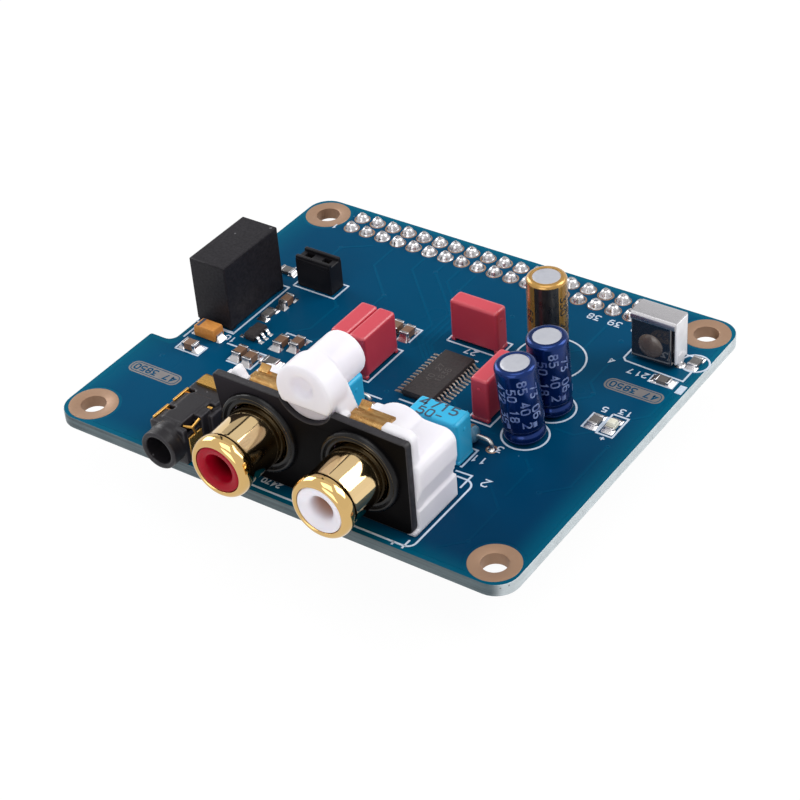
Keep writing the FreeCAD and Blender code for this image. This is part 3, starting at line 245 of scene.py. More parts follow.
def to_side(x, y, side):
    """Places a shape that reaches out along X, mirrored where the side is -1."""
    return shift(x, y, 0) @ Matrix.Scale(side, 4, (1, 0, 0))


def cad(node):
    """Lowest and highest corners of a solid."""
    low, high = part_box(node)
    return low / MM, high / MM


def listed(mesh):
    """Points and faces of a bmesh, which is freed."""
    mesh.verts.index_update()
    points = [tuple(v.co) for v in mesh.verts]
    faces = [[v.index for v in f.verts] for f in mesh.faces]
    mesh.free()
    return points, faces


def block(low, high, edge, steps, draft=0.0):
    """Box with rounded edges, its top drawn in by the draft."""
    mesh = bmesh.new()
    bmesh.ops.create_cube(mesh, size=1.0)
    low, high = Vector(low), Vector(high)
    middle, span = (low + high) / 2, high - low
    for v in mesh.verts:
        inset = draft if v.co.z > 0 else 0.0
        v.co = Vector((
            middle.x + v.co.x * (span.x - 2 * inset),
            middle.y + v.co.y * (span.y - 2 * inset),
            middle.z + v.co.z * span.z,
        ))
    if edge:
        edge = min(edge, 0.45 * min(span))
        bmesh.ops.bevel(mesh, geom=mesh.edges[:], offset=edge, segments=steps, profile=0.5, affect="EDGES")
        sides = sorted(mesh.faces, key=lambda f: f.calc_area())[-6:]
        for _ in range(2):
            bmesh.ops.inset_individual(mesh, faces=sides, thickness=min(0.15, 0.1 * min(span)))
    return listed(mesh)


def laid(x, y, along, length, width, z0, z1, edge, steps):
    """Block that lies along X or Y with its middle at a place."""
    a, b = (length / 2, width / 2) if along == "X" else (width / 2, length / 2)
    return block((x - a, y - b, z0), (x + a, y + b, z1), edge, steps)


def around(sides):
    """Angles of a full turn."""
    return [2 * math.pi * i / sides for i in range(sides)]


def turned(profile, sides, closed=False):
    """Solid turned about Z from (radius, height) points; a closed profile makes a ring."""
    points, faces, rings = [], [], []
    for radius, height in profile:
        if radius < 1e-6:
            rings.append([len(points)])
            points.append((0.0, 0.0, height))
            continue
        rings.append(list(range(len(points), len(points) + sides)))
        points += [(radius * math.cos(a), radius * math.sin(a), height) for a in around(sides)]
    pairs = list(zip(rings, rings[1:]))
    if closed:
        pairs.append((rings[-1], rings[0]))
    for a, b in pairs:
        for i in range(sides):
            j = (i + 1) % sides
            quad = [a[i % len(a)], a[j % len(a)], b[j % len(b)], b[i % len(b)]]
            face = [p for n, p in enumerate(quad) if p not in quad[:n]]
            if len(face) > 2:
                faces.append(face)
    return points, faces


def skinned(rings, closed=False):
    """Skin through rings of equally many points, capped at both ends or closed to a loop."""
    n = len(rings[0])
    faces = []
    for i in range(len(rings) if closed else len(rings) - 1):
        a, b = i * n, (i + 1) % len(rings) * n
        faces += [[a + k, a + (k + 1) % n, b + (k + 1) % n, b + k] for k in range(n)]
    if not closed:
        last = (len(rings) - 1) * n
        faces += [list(range(n))[::-1], list(range(last, last + n))]
    return [p for ring in rings for p in ring], faces


def prism(outline, z0, z1):
    """Straight prism on an outline."""
    return skinned([[(x, y, z) for x, y in outline] for z in (z0, z1)])


def rounded(corners, steps=8):
    """Outline whose corners (x, y, radius) are rounded."""
    outline = []
    count = len(corners)
    for i, (x, y, radius) in enumerate(corners):
        here = Vector((x, y))
        if radius <= 0:
            outline.append((x, y))
            continue
        back = (Vector(corners[i - 1][:2]) - here).normalized()
        on = (Vector(corners[(i + 1) % count][:2]) - here).normalized()
        half = back.angle(on) / 2
        centre = here + (back + on).normalized() * radius / math.sin(half)
        start = here + back * radius / math.tan(half) - centre
        end = here + on * radius / math.tan(half) - centre
        sweep = start.angle_signed(end)
        first = math.atan2(start.y, start.x)
        for k in range(steps + 1):
            angle = first - sweep * k / steps
            outline.append((centre.x + radius * math.cos(angle), centre.y + radius * math.sin(angle)))
    return outline


def round_cornered(x0, x1, y0, y1, radius, steps):
    """Outline of a rectangle with rounded corners."""
    return rounded([(x0, y0, radius), (x1, y0, radius), (x1, y1, radius), (x0, y1, radius)], steps)


def circle(x, y, radius, steps, start=0.0, end=360.0):
    """Points on a circle or an arc of it."""
    count = steps if end - start >= 360 else steps + 1
    angles = [math.radians(start + (end - start) * i / steps) for i in range(count)]
    return [(x + radius * math.cos(a), y + radius * math.sin(a)) for a in angles]


def filled_plate(outline, holes, thickness, edge):
    """Flat plate with holes and rounded edges, its middle at height zero."""
    curve = bpy.data.curves.new("plate outline", "CURVE")
    curve.dimensions = "2D"
    curve.fill_mode = "BOTH"
    curve.extrude = thickness / 2 - edge
    curve.bevel_depth = edge
    curve.bevel_resolution = 1
    curve.offset = -edge
    for line in [outline] + list(holes):
        spline = curve.splines.new("POLY")
        spline.points.add(len(line) - 1)
        spline.use_cyclic_u = True
        for point, (x, y) in zip(spline.points, line):
            point.co = (x, y, 0, 1)
    holder = bpy.data.objects.new("plate outline", curve)
    made = bpy.data.meshes.new_from_object(holder)
    mesh = bmesh.new()
    mesh.from_mesh(made)
    bmesh.ops.remove_doubles(mesh, verts=mesh.verts, dist=1e-4)
    bpy.data.objects.remove(holder)
    bpy.data.curves.remove(curve)
    bpy.data.meshes.remove(made)
    return listed(mesh)


def divided(line, longest, closed):
    """Points of a line with none further apart than the longest step."""
    ends = line[1:] + line[:1] if closed else line[1:]
    points = []
    for a, b in zip(line, ends):
        count = max(1, math.ceil((b - a).length / longest))
        points += [a.lerp(b, i / count) for i in range(count)]
    return points if closed else points + [line[-1]]


def strip(line, width, low, high, closed=False, lay=None, longest=0.0):
    """Printed line of a width, closed on all sides; lay puts it on another surface."""
    points = [Vector(p) for p in line]
    if longest:
        points = divided(points, longest, closed)
    count = len(points)
    rings = []
    for i, p in enumerate(points):
        before = points[i - 1] if i or closed else None
        after = points[(i + 1) % count] if i < count - 1 or closed else None
        first = (p - before).normalized() if before is not None else (after - p).normalized()
        second = (after - p).normalized() if after is not None else first
        along = first + second
        along = along.normalized() if along.length > 1e-6 else first
        across = Vector((-along.y, along.x))
        reach = width / 2 / max(0.4, across.dot(Vector((-first.y, first.x))))
        left, right = p + across * reach, p - across * reach
        ring = [(*left, low), (*left, high), (*right, high), (*right, low)]
        rings.append([lay(*corner) for corner in ring] if lay else ring)
    return skinned(rings, closed)


def on_plane(matrix):
    """Lay that puts marks on a plane."""
    return lambda u, v, h: tuple(matrix @ Vector((u, v, h)))


def on_sleeve(radius, bearing, height):
    """Lay that wraps marks round a can, from a bearing in degrees."""
    def lay(u, v, h):
        angle = math.radians(bearing) + u / radius
        return ((radius + h) * math.cos(angle), (radius + h) * math.sin(angle), height + v)
    return lay


def path_direction(path, i):
    """Direction of a path at one of its points."""
    return (path[min(i + 1, len(path) - 1)] - path[max(i - 1, 0)]).normalized()


def tube(path, radius, sides=10):
    """Round wire along a path, with closed ends."""
    path = [Vector(p) for p in path]
    rings = []
    normal = path_direction(path, 0).orthogonal().normalized()
    for i, p in enumerate(path):
        along = path_direction(path, i)
        normal = (normal - along * normal.dot(along)).normalized()
        other = along.cross(normal)
        rings.append([tuple(p + radius * (normal * math.cos(a) + other * math.sin(a))) for a in around(sides)])
    return skinned(rings)


def band(path, width, thickness):
    """Flat bent strip: a path in the XZ plane, thickened and extruded along Y."""
    path = [Vector(p) for p in path]
    half = width / 2
    rings = []
    for i, p in enumerate(path):
        along = path_direction(path, i)
        across = Vector((-along.y, along.x)) * thickness / 2
        (x0, z0), (x1, z1) = p + across, p - across
        rings.append([(x0, -half, z0), (x0, half, z0), (x1, half, z1), (x1, -half, z1)])
    return skinned(rings)


def stack_level(x, y, half_x, half_y, z, radius):
    """Level of a stack with its middle at a place."""
    return x - half_x, x + half_x, y - half_y, y + half_y, z, radius


def stacked(levels):
    """Solid through rounded rectangles (x0, x1, y0, y1, z, radius) stacked one on another."""
    return skinned([
        [(x, y, z) for x, y in round_cornered(x0, x1, y0, y1, radius, 4)]
        for x0, x1, y0, y1, z, radius in levels])


def plated_ring(inner, outer, sides=24):
    """Thin plated ring round a lead hole."""
    return turned([(inner, 0.0), (inner, 0.03), (outer - 0.03, 0.035), (outer, 0.0)], sides, True)


def solder_cone(radius, height):
    """Solder fillet round a lead: hollow sides up to a round collar."""
    flank = ((0.72, 0.22), (0.52, 0.55), (0.42, 0.85), (0.3, 0.97))
    return turned([(0.0, -0.02), (radius, -0.02), (radius * 0.98, 0.05)]
                  + [(radius * r, height * h) for r, h in flank] + [(0.0, height)], 20)


def socket_body(columns, rows, pitch, depth, high, low, opening, slot, slot_floor, edge=0.18):
    """Body of a pin socket that opens upwards: a funnel over a square slot at each way."""
    points, faces = [], []
    half_x, half_y = columns * pitch / 2, depth / 2
    xs = [-half_x + edge] + [(i - columns / 2) * pitch for i in range(1, columns)] + [half_x - edge]
    ys = [-half_y + edge] + [(j - rows / 2) * pitch for j in range(1, rows)] + [half_y - edge]

    def quad(*corners):
        faces.append(list(range(len(points), len(points) + len(corners))))
        points.extend(corners)

    for i in range(columns):
        for j in range(rows):
            cx, cy = (i - (columns - 1) / 2) * pitch, (j - (rows - 1) / 2) * pitch
            corners = [(xs[i], ys[j]), (xs[i + 1], ys[j]), (xs[i + 1], ys[j + 1]), (xs[i], ys[j + 1])]
            signs = ((-1, -1), (1, -1), (1, 1), (-1, 1))
            levels = [[(*c, high) for c in corners]]
            for half, z in ((opening / 2, high), (slot / 2, high - 0.5), (slot / 2, slot_floor)):
                levels.append([(cx + sx * half, cy + sy * half, z) for sx, sy in signs])
            for a, b in zip(levels, levels[1:]):
                for k in range(4):
                    quad(a[k], a[(k + 1) % 4], b[(k + 1) % 4], b[k])
            quad(*levels[-1])
    rim = [(x, ys[0]) for x in xs] + [(xs[-1], y) for y in ys[1:]]
    rim += [(x, ys[-1]) for x in xs[-2::-1]] + [(xs[0], y) for y in ys[-2:0:-1]]
    grow = [(half_x / (half_x - edge) * x if abs(x) > half_x - edge - 1e-6 else x,
             half_y / (half_y - edge) * y if abs(y) > half_y - edge - 1e-6 else y) for x, y in rim]
    for k in range(len(rim)):
        m = (k + 1) % len(rim)
        quad((*rim[k], high), (*rim[m], high), (*grow[m], high - edge), (*grow[k], high - edge))
        quad((*grow[k], high - edge), (*grow[m], high - edge), (*grow[m], low), (*grow[k], low))
    quad(*[(*p, low) for p in grow])
    mesh = bmesh.new()
    for p in points:
        mesh.verts.new(p)
    mesh.verts.ensure_lookup_table()
    for face in faces:
        mesh.faces.new([mesh.verts[k] for k in face])
    bmesh.ops.remove_doubles(mesh, verts=mesh.verts, dist=1e-4)
    return listed(mesh)


# Mouldings as distance fields

def box_field(p, low, high, edge):
    """Box with rounded edges."""
    low, high = np.array(low), np.array(high)
    q = np.abs(p - (low + high) / 2) - ((high - low) / 2 - edge)
    return np.linalg.norm(np.maximum(q, 0), axis=-1) + np.minimum(q.max(-1), 0) - edge


def rod_field(p, x, z, y0, y1, radius, edge):
    """Rod along Y with rounded ends."""
    across = np.hypot(p[..., 0] - x, p[..., 2] - z) - (radius - edge)
    along = np.abs(p[..., 1] - (y0 + y1) / 2) - ((y1 - y0) / 2 - edge)
    outside = np.hypot(np.maximum(across, 0), np.maximum(along, 0))
    return outside + np.minimum(np.maximum(across, along), 0) - edge


def blended(a, b, soft):
    """Union of two fields with a fillet."""
    h = np.clip(0.5 + 0.5 * (b - a) / soft, 0, 1)
    return b * (1 - h) + a * h - soft * h * (1 - h)


def without(a, b, soft=0.12):
    """First field with the second cut out, its edge broken."""
    return -blended(-a, b, soft)


def moulded(field, low, high, step):
    """Skin of a moulding: the zero surface of a distance field, with one point in each cell that it crosses."""
    axes = [np.arange(low[i] - 2 * step, high[i] + 3 * step, step) for i in range(3)]
    grid = np.stack(np.meshgrid(*axes, indexing="ij"), -1)
    value = field(grid)
    cells = np.array(value.shape) - 1
    total = np.zeros((*cells, 3))
    count = np.zeros(cells)
    crossings = []
    for axis in range(3):
        first = [slice(None)] * 3
        second = [slice(None)] * 3
        first[axis], second[axis] = slice(None, -1), slice(1, None)
        a, b = value[tuple(first)], value[tuple(second)]
        crossed = (a < 0) != (b < 0)
        crossings.append((axis, crossed, a < 0))
        part = np.where(crossed, a / np.where(a == b, 1, a - b), 0)
        u, v = [k for k in range(3) if k != axis]
        for du in (0, 1):
            for dv in (0, 1):
                pick = [slice(None)] * 3
                pick[u] = slice(du, du + cells[u])
                pick[v] = slice(dv, dv + cells[v])
                hit = crossed[tuple(pick)]
                count += hit
                total[..., axis] += np.where(hit, part[tuple(pick)], 0)
                total[..., u] += hit * du
                total[..., v] += hit * dv
    used = count > 0
    number = np.full(cells, -1)
    number[used] = np.arange(used.sum())
    where = np.argwhere(used)
    points = where + total[used] / count[used][:, None]
    points = points * step + np.array([a[0] for a in axes])
    faces = []
    for axis, crossed, inside in crossings:
        u, v = [(1, 2), (2, 0), (0, 1)][axis]
        spots = np.argwhere(crossed)
        keep = (spots[:, u] > 0) & (spots[:, v] > 0) & (spots[:, u] < cells[u]) & (spots[:, v] < cells[v])
        spots = spots[keep]
        corners = []
        for du, dv in ((1, 1), (0, 1), (0, 0), (1, 0)):
            near = spots.copy()
            near[:, u] -= du
            near[:, v] -= dv
            corners.append(number[tuple(near.T)])
        quads = np.stack(corners, 1)
        flip = ~inside[tuple(spots.T)]
        quads[flip] = quads[flip][:, ::-1]
        faces += quads.tolist()
    return [tuple(p) for p in points], faces


# Angles in degrees from which an edge stays sharp, on flat-sided, round and moulded pieces
SHARP_FLAT = 38.0
SHARP_ROUND = 50.0
SHARP_MOULDED = 60.0


class Form:
    """One piece in the making, whose faces know their finish."""

    def __init__(self):
        self.points, self.faces, self.finish = [], [], []

    def add(self, shape, finish=0, move=None):
        """Adds a shape, moved to its place; the finish is a number or picks one for each face."""
        points, faces = shape
        start = len(self.points)
        if move is not None:
            points = [tuple(move @ Vector(p)) for p in points]
        self.points += points
        self.faces += [[start + i for i in face] for face in faces]
        if callable(finish):
            self.finish += [finish([points[i] for i in face]) for face in faces]
        else:
            self.finish += [finish] * len(faces)
        return self

    def write(self, text, height, line, low, high, lay, finish=0):
        """Plain digits, centred, that read along the lay's first direction."""
        unit = height / STROKE_BOX_HEIGHT
        advance = 1.5 * unit
        start = -(len(text) * advance - 0.5 * unit) / 2
        for n, sign in enumerate(text):
            for order, stroke in enumerate(STROKES.get(sign, ())):
                run = [(start + n * advance + x * unit, (y - STROKE_BOX_HEIGHT / 2) * unit) for x, y in stroke]
                self.add(strip(run, line, low, high + order * 0.003, lay=lay, longest=STROKE_STEP), finish)
        return self

    def place(self, name, slot, finishes, stands_for=(), sharp=SHARP_FLAT):
        """Makes the piece, in its place and finish, and lets it stand for its solids."""
        if not self.faces:
            raise RuntimeError(f"{name} has no faces")
        mesh = bpy.data.meshes.new(name)
        mesh.from_pydata([[c * MM for c in p] for p in self.points], [], self.faces)
        mesh.polygons.foreach_set("material_index", self.finish)
        for each in finishes:
            mesh.materials.append(finish_named(each))
        work = bmesh.new()
        work.from_mesh(mesh)
        bmesh.ops.recalc_face_normals(work, faces=work.faces)
        work.to_mesh(mesh)
        work.free()
        mesh.shade_smooth()
        mesh.set_sharp_from_angle(angle=math.radians(sharp))
        piece = new_object(name, mesh)
        even = piece.modifiers.new("even shading", "WEIGHTED_NORMAL")
        even.keep_sharp = True
        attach(piece, "root")
        if stands_for:
            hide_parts(*stands_for)
        return piece


def dress(node, finish):
    """Gives a solid that stays in view its finish."""
    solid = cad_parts[node]
    for slot in solid.material_slots:
        slot.material = finish_named(finish)
    if not solid.material_slots:
        raise RuntimeError(f"{node} has no material slot")


# Shared effects

def add_node(tree, kind, inputs=None, **settings):
    """New shader node with its settings; its inputs are joined to sockets or set to values."""
    made = tree.nodes.new("ShaderNode" + kind)
    for name, value in settings.items():
        setattr(made, name, value)
    for label, value in (inputs or {}).items():
        if isinstance(value, bpy.types.NodeSocket):
            tree.links.new(value, made.inputs[label])
        else:
            made.inputs[label].default_value = value
    return made


def effect_tree(name, inputs, outputs):
    """Empty effect with its named inputs and outputs."""
    tree = bpy.data.node_groups.new(name, "ShaderNodeTree")
    for label, value in inputs.items():
        kind = "NodeSocketVector" if isinstance(value, tuple) else "NodeSocketFloat"
        tree.interface.new_socket(label, in_out="INPUT", socket_type=kind).default_value = value
    for label in outputs:
        tree.interface.new_socket(label, in_out="OUTPUT", socket_type="NodeSocketFloat")
    return tree, tree.nodes.new("NodeGroupInput").outputs, tree.nodes.new("NodeGroupOutput").inputs


def grain_effect():
    """Fine grain and broad clouds; the stretch draws them out."""
    tree, given, result = effect_tree(
        "Grain and clouds", {"Scale": 4000.0, "Stretch": (1, 1, 1), "Cloud Scale": 300.0}, ["Grain", "Clouds"])
    place = add_node(tree, "TexCoord").outputs["Object"]
    drawn = add_node(tree, "Mapping", {"Vector": place, "Scale": given["Stretch"]}).outputs["Vector"]
    for label, scale, detail in (("Grain", "Scale", 4.0), ("Clouds", "Cloud Scale", 3.0)):
        noise = add_node(tree, "TexNoise", {"Vector": drawn, "Scale": given[scale], "Detail": detail})
        even = add_node(tree, "MapRange", {"Value": noise.outputs["Fac"], "From Min": 0.3, "From Max": 0.7})
        tree.links.new(even.outputs["Result"], result[label])
    return tree


def speck_effect():
    """Sparse specks of dust."""
    tree, given, result = effect_tree("Dust specks", {"Scale": 900.0, "Size": 0.12, "Share": 0.15}, ["Specks"])
    place = add_node(tree, "TexCoord").outputs["Object"]
    cell = add_node(tree, "TexVoronoi", {"Vector": place, "Scale": given["Scale"]}).outputs
    lot = add_node(tree, "SeparateColor", {"Color": cell["Color"]}).outputs["Red"]
    near = add_node(tree, "Math", {0: cell["Distance"], 1: given["Size"]}, operation="LESS_THAN")
    few = add_node(tree, "Math", {0: lot, 1: given["Share"]}, operation="LESS_THAN")
    both = add_node(tree, "Math", {0: near.outputs[0], 1: few.outputs[0]}, operation="MULTIPLY")
    tree.links.new(both.outputs[0], result["Specks"])
    return tree


def wear_effect():
    """Rubbed edges, broken up by grain."""
    tree, given, result = effect_tree("Edge wear", {"Start": 0.51, "Full": 0.58, "Scale": 3000.0}, ["Wear"])
    edge = add_node(tree, "MapRange", {
        "Value": add_node(tree, "NewGeometry").outputs["Pointiness"],
        "From Min": given["Start"], "From Max": given["Full"]})
    place = add_node(tree, "TexCoord").outputs["Object"]
    noise = add_node(tree, "TexNoise", {"Vector": place, "Scale": given["Scale"]})
    both = add_node(tree, "Math", {0: edge.outputs["Result"], 1: noise.outputs["Fac"]}, operation="MULTIPLY")
    tree.links.new(both.outputs[0], result["Wear"])
    return tree


def depth_effect():
    """Mask that rises from one height to another along an axis of the piece."""
    tree, given, result = effect_tree(
        "Depth along an axis", {"Axis": (0, 1, 0), "Start": 0.0, "End": 1.0}, ["Depth"])
    place = add_node(tree, "TexCoord").outputs["Object"]
    along = add_node(tree, "VectorMath", {0: place, 1: given["Axis"]}, operation="DOT_PRODUCT")
    span = add_node(
        tree, "MapRange",
        {"Value": along.outputs["Value"], "From Min": given["Start"], "From Max": given["End"]},
        interpolation_type="SMOOTHSTEP")
    tree.links.new(span.outputs["Result"], result["Depth"])
    return tree


EFFECTS = {"grain": grain_effect, "specks": speck_effect, "wear": wear_effect, "depth": depth_effect}
MADE_EFFECTS = {}


def worded(name):
    """Label of a socket from the name of a value."""
    return name.replace("_", " ").title().replace("Ior", "IOR")


def set_values(shader, **values):
    """Sets inputs of a shader to plain values."""
    for name, value in values.items():
        shader[worded(name)].default_value = value


class Finish:
    """A finish in the making: one shader fed by the shared effects."""

    def __init__(self, name, base, rough, metal, **constants):
        self.material = bpy.data.materials.new(name)
        self.material.use_nodes = True
        self.material.diffuse_color = (*base, 1.0)
        self.tree = self.material.node_tree
        self.shader = self.tree.nodes["Principled BSDF"].inputs
        self.colour = (*base, 1.0)
        set_values(self.shader, base_color=self.colour, roughness=rough, metallic=metal, **constants)

    def effect(self, name, **values):
        """Outputs of a shared effect with values of its own."""
        if name not in MADE_EFFECTS:
            MADE_EFFECTS[name] = EFFECTS[name]()
        inputs = {worded(label): value for label, value in values.items()}
        return add_node(self.tree, "Group", inputs, node_tree=MADE_EFFECTS[name]).outputs

    def depth(self, axis, start, end):
        """Mask that rises between two distances along an axis, in millimetres."""
        return self.effect("depth", axis=axis, start=start * MM, end=end * MM)["Depth"]

    def spread(self, mask, low, high):
        """Value that runs from low to high with a mask."""
        return add_node(self.tree, "MapRange", {"Value": mask, "To Min": low, "To Max": high}).outputs["Result"]

    def shade(self, mask, second, amount=1.0):
        """Lays a second colour over the colour so far, by a share of a mask."""
        share = self.spread(mask, 0.0, amount)
        mix = add_node(self.tree, "Mix", {"Factor": share, 6: self.colour, 7: (*second, 1.0)}, data_type="RGBA")
        self.colour = mix.outputs[2]
        self.tree.links.new(self.colour, self.shader["Base Color"])

    def both(self, first, second):
        """Mask where two masks meet."""
        return add_node(self.tree, "Math", {0: first, 1: second}, operation="MULTIPLY").outputs[0]

    def roughness(self, mask, low, high):
        """Gloss that varies between two values with a mask."""
        self.tree.links.new(self.spread(mask, low, high), self.shader["Roughness"])

    def relief(self, height, depth, strength=1.0):
        """Relief of a depth in millimetres, over the relief so far."""
        inputs = {"Distance": depth * MM, "Strength": strength, "Height": height}
        before = self.shader["Normal"].links
        if before:
            inputs["Normal"] = before[0].from_socket
        self.tree.links.new(add_node(self.tree, "Bump", inputs).outputs["Normal"], self.shader["Normal"])


# Finishes

DUST = (0.75, 0.75, 0.78)
DUST_SHARE = 0.14
SMOOTHEST = 0.02


def darker(base, share):
    """A share of a colour's light."""
    return tuple(c * share for c in base)


def chosen(value):
    """Colour from the looks by group and name, or from screen values."""
    if isinstance(value, str):
        group, name = value.split(".")
        return getattr(looks("dac_" + group), name)
    return tint(*value)


def plain_finish(name, base, clouds, rough, swing, metal, grain_scale, cloud_scale, relief, more):
    """Finish with clouds of a second colour, grain in its gloss and relief, worn edges and dust."""
    more = dict(more)
    stretch, amount = more.pop("stretch", (1, 1, 1)), more.pop("amount", 0.6)
    wear, dust = more.pop("wear", None), more.pop("dust", None)
    base = chosen(base)
    second = darker(base, clouds) if isinstance(clouds, float) else chosen(clouds)
    made = Finish(name, base, rough, metal, **more)
    grain = made.effect("grain", scale=grain_scale, stretch=stretch, cloud_scale=cloud_scale)
    made.shade(grain["Clouds"], second, amount)
    made.roughness(grain["Clouds"], max(SMOOTHEST, rough - swing), rough + swing)
    if relief:
        made.relief(grain["Grain"], relief)
    if wear:
        made.shade(made.effect("wear")["Wear"], tint(*wear))
    if dust:
        made.shade(made.effect("specks", scale=dust)["Specks"], DUST, DUST_SHARE)
    return made


def layer_lacquer(made):
    """Painted shade towards the front, paler rims, the weave of the glass and a few specks."""
    # Painted shade: the lacquer darkens towards the front of the board.
    made.shade(made.depth((0.5, -0.87, 0), 2.0, 30.0), tint(0, 42, 74), 0.7)
    rims = (((1, 0, 0), 28.5, 33.0), ((-1, 0, 0), 27.5, 33.5), ((0, -1, 0), 24.5, 28.6), ((0, 1, 0), 25.0, 29.0))
    for axis, start, end in rims:
        made.shade(made.depth(axis, start, end), chosen("board.mask_edge"), 0.62)
    for stretch in ((1.0, 0.12, 1.0), (0.12, 1.0, 1.0)):
        made.relief(made.effect("grain", scale=900.0, stretch=stretch)["Grain"], 0.004, 0.5)
    made.shade(made.effect("specks", scale=420.0, size=0.045, share=0.25)["Specks"], tint(120, 160, 190), 0.3)


def layer_laminate(made):
    """Layers of glass along the cut edge, with painted shade on the front edge."""
    layers = made.effect("grain", scale=420.0, stretch=(0.35, 0.35, 14.0))["Grain"]
    made.shade(layers, darker(chosen("board.laminate"), 0.55), 0.35)
    made.relief(layers, 0.02, 0.6)
    # Painted shade: the front edge is darkened, and the glass layers are laid over it again.
    front = made.depth((0, -1, 0), 27.0, 27.9)
    made.shade(front, tint(24, 46, 54), 0.94)
    stripes = made.effect("grain", scale=260.0, stretch=(0.2, 0.2, 11.0))["Clouds"]
    made.shade(made.both(front, stripes), tint(128, 150, 156), 0.3)
    made.shade(made.effect("specks", scale=1500.0, size=0.22, share=0.12)["Specks"], tint(78, 84, 84), 0.6)


def layer_gold(made):
    """Turning lines, and a deeper gold on the lips as a painted dark reflection."""
    made.relief(made.effect("grain", scale=500.0, stretch=(0.3, 16.0, 0.3))["Grain"], 0.0012, 0.6)
    # Painted dark reflection on the lips.
    made.shade(made.depth((0, -1, 0), 31.2, 31.9), chosen("sockets.gold_lip"), 0.8)


def layer_brass(made):
    """Rubbed streaks."""
    made.shade(made.effect("grain", scale=1500.0, stretch=(0.25, 1.6, 1.0))["Grain"], tint(238, 205, 140), 0.35)


def layer_white(made):
    """Painted shade on the cut foot of the boss."""
    # Painted shade where the boss's foot sits back in the plate's notch.
    foot = made.both(made.depth((0, 0, -1), -13.2, -12.9), made.depth((0, -1, 0), 24.7, 25.05))
    made.shade(foot, tint(186, 180, 188), 0.8)


def layer_plate_painted_sheen(made):
    """Painted sheen towards the upper left corner."""
    made.shade(made.depth((-0.35, 0, 0.94), 7.0, 16.0), tint(48, 45, 51), 0.85)


def layer_red_insert_painted_shade(made):
    """Painted shade: dark red down the bore."""
    made.shade(made.depth((0, 1, 0), -32.6, -31.2), tint(84, 0, 8))


def layer_white_insert_painted_shade(made):
    """Painted shade: tan down the bore."""
    made.shade(made.depth((0, 1, 0), -33.0, -31.0), tint(210, 172, 154))


LAYERS = {
    "lacquer over copper": layer_lacquer,
    "lacquer over laminate": layer_lacquer,
    "lacquer over tracks": layer_lacquer,
    "laminate edge": layer_laminate,
    "gold plate": layer_gold,
    "brass strap": layer_brass,
    "white moulding": layer_white,
    "front plate black": layer_plate_painted_sheen,
    "red insert": layer_red_insert_painted_shade,
    "white insert": layer_white_insert_painted_shade,
}


def specular(level, **more):
    """Gloss of the surface itself."""
    return dict(specular_ior_level=level, **more)


def coated(weight, rough, **more):
    """Clear coat."""
    return dict(coat_weight=weight, coat_roughness=rough, **more)


def milky(weight, radius, scale, **more):
    """Light that goes a little way into the plastic."""
    return dict(subsurface_weight=weight, subsurface_radius=radius, subsurface_scale=scale, **more)


INSERT_GLOSS = milky(0.12, (0.6, 0.3, 0.2), 0.0006, **coated(0.03, 0.1, **specular(0.12)))
HOUSING_GLOSS = milky(0.55, (1.0, 0.94, 0.97), 0.002, **specular(0.35, amount=0.7))

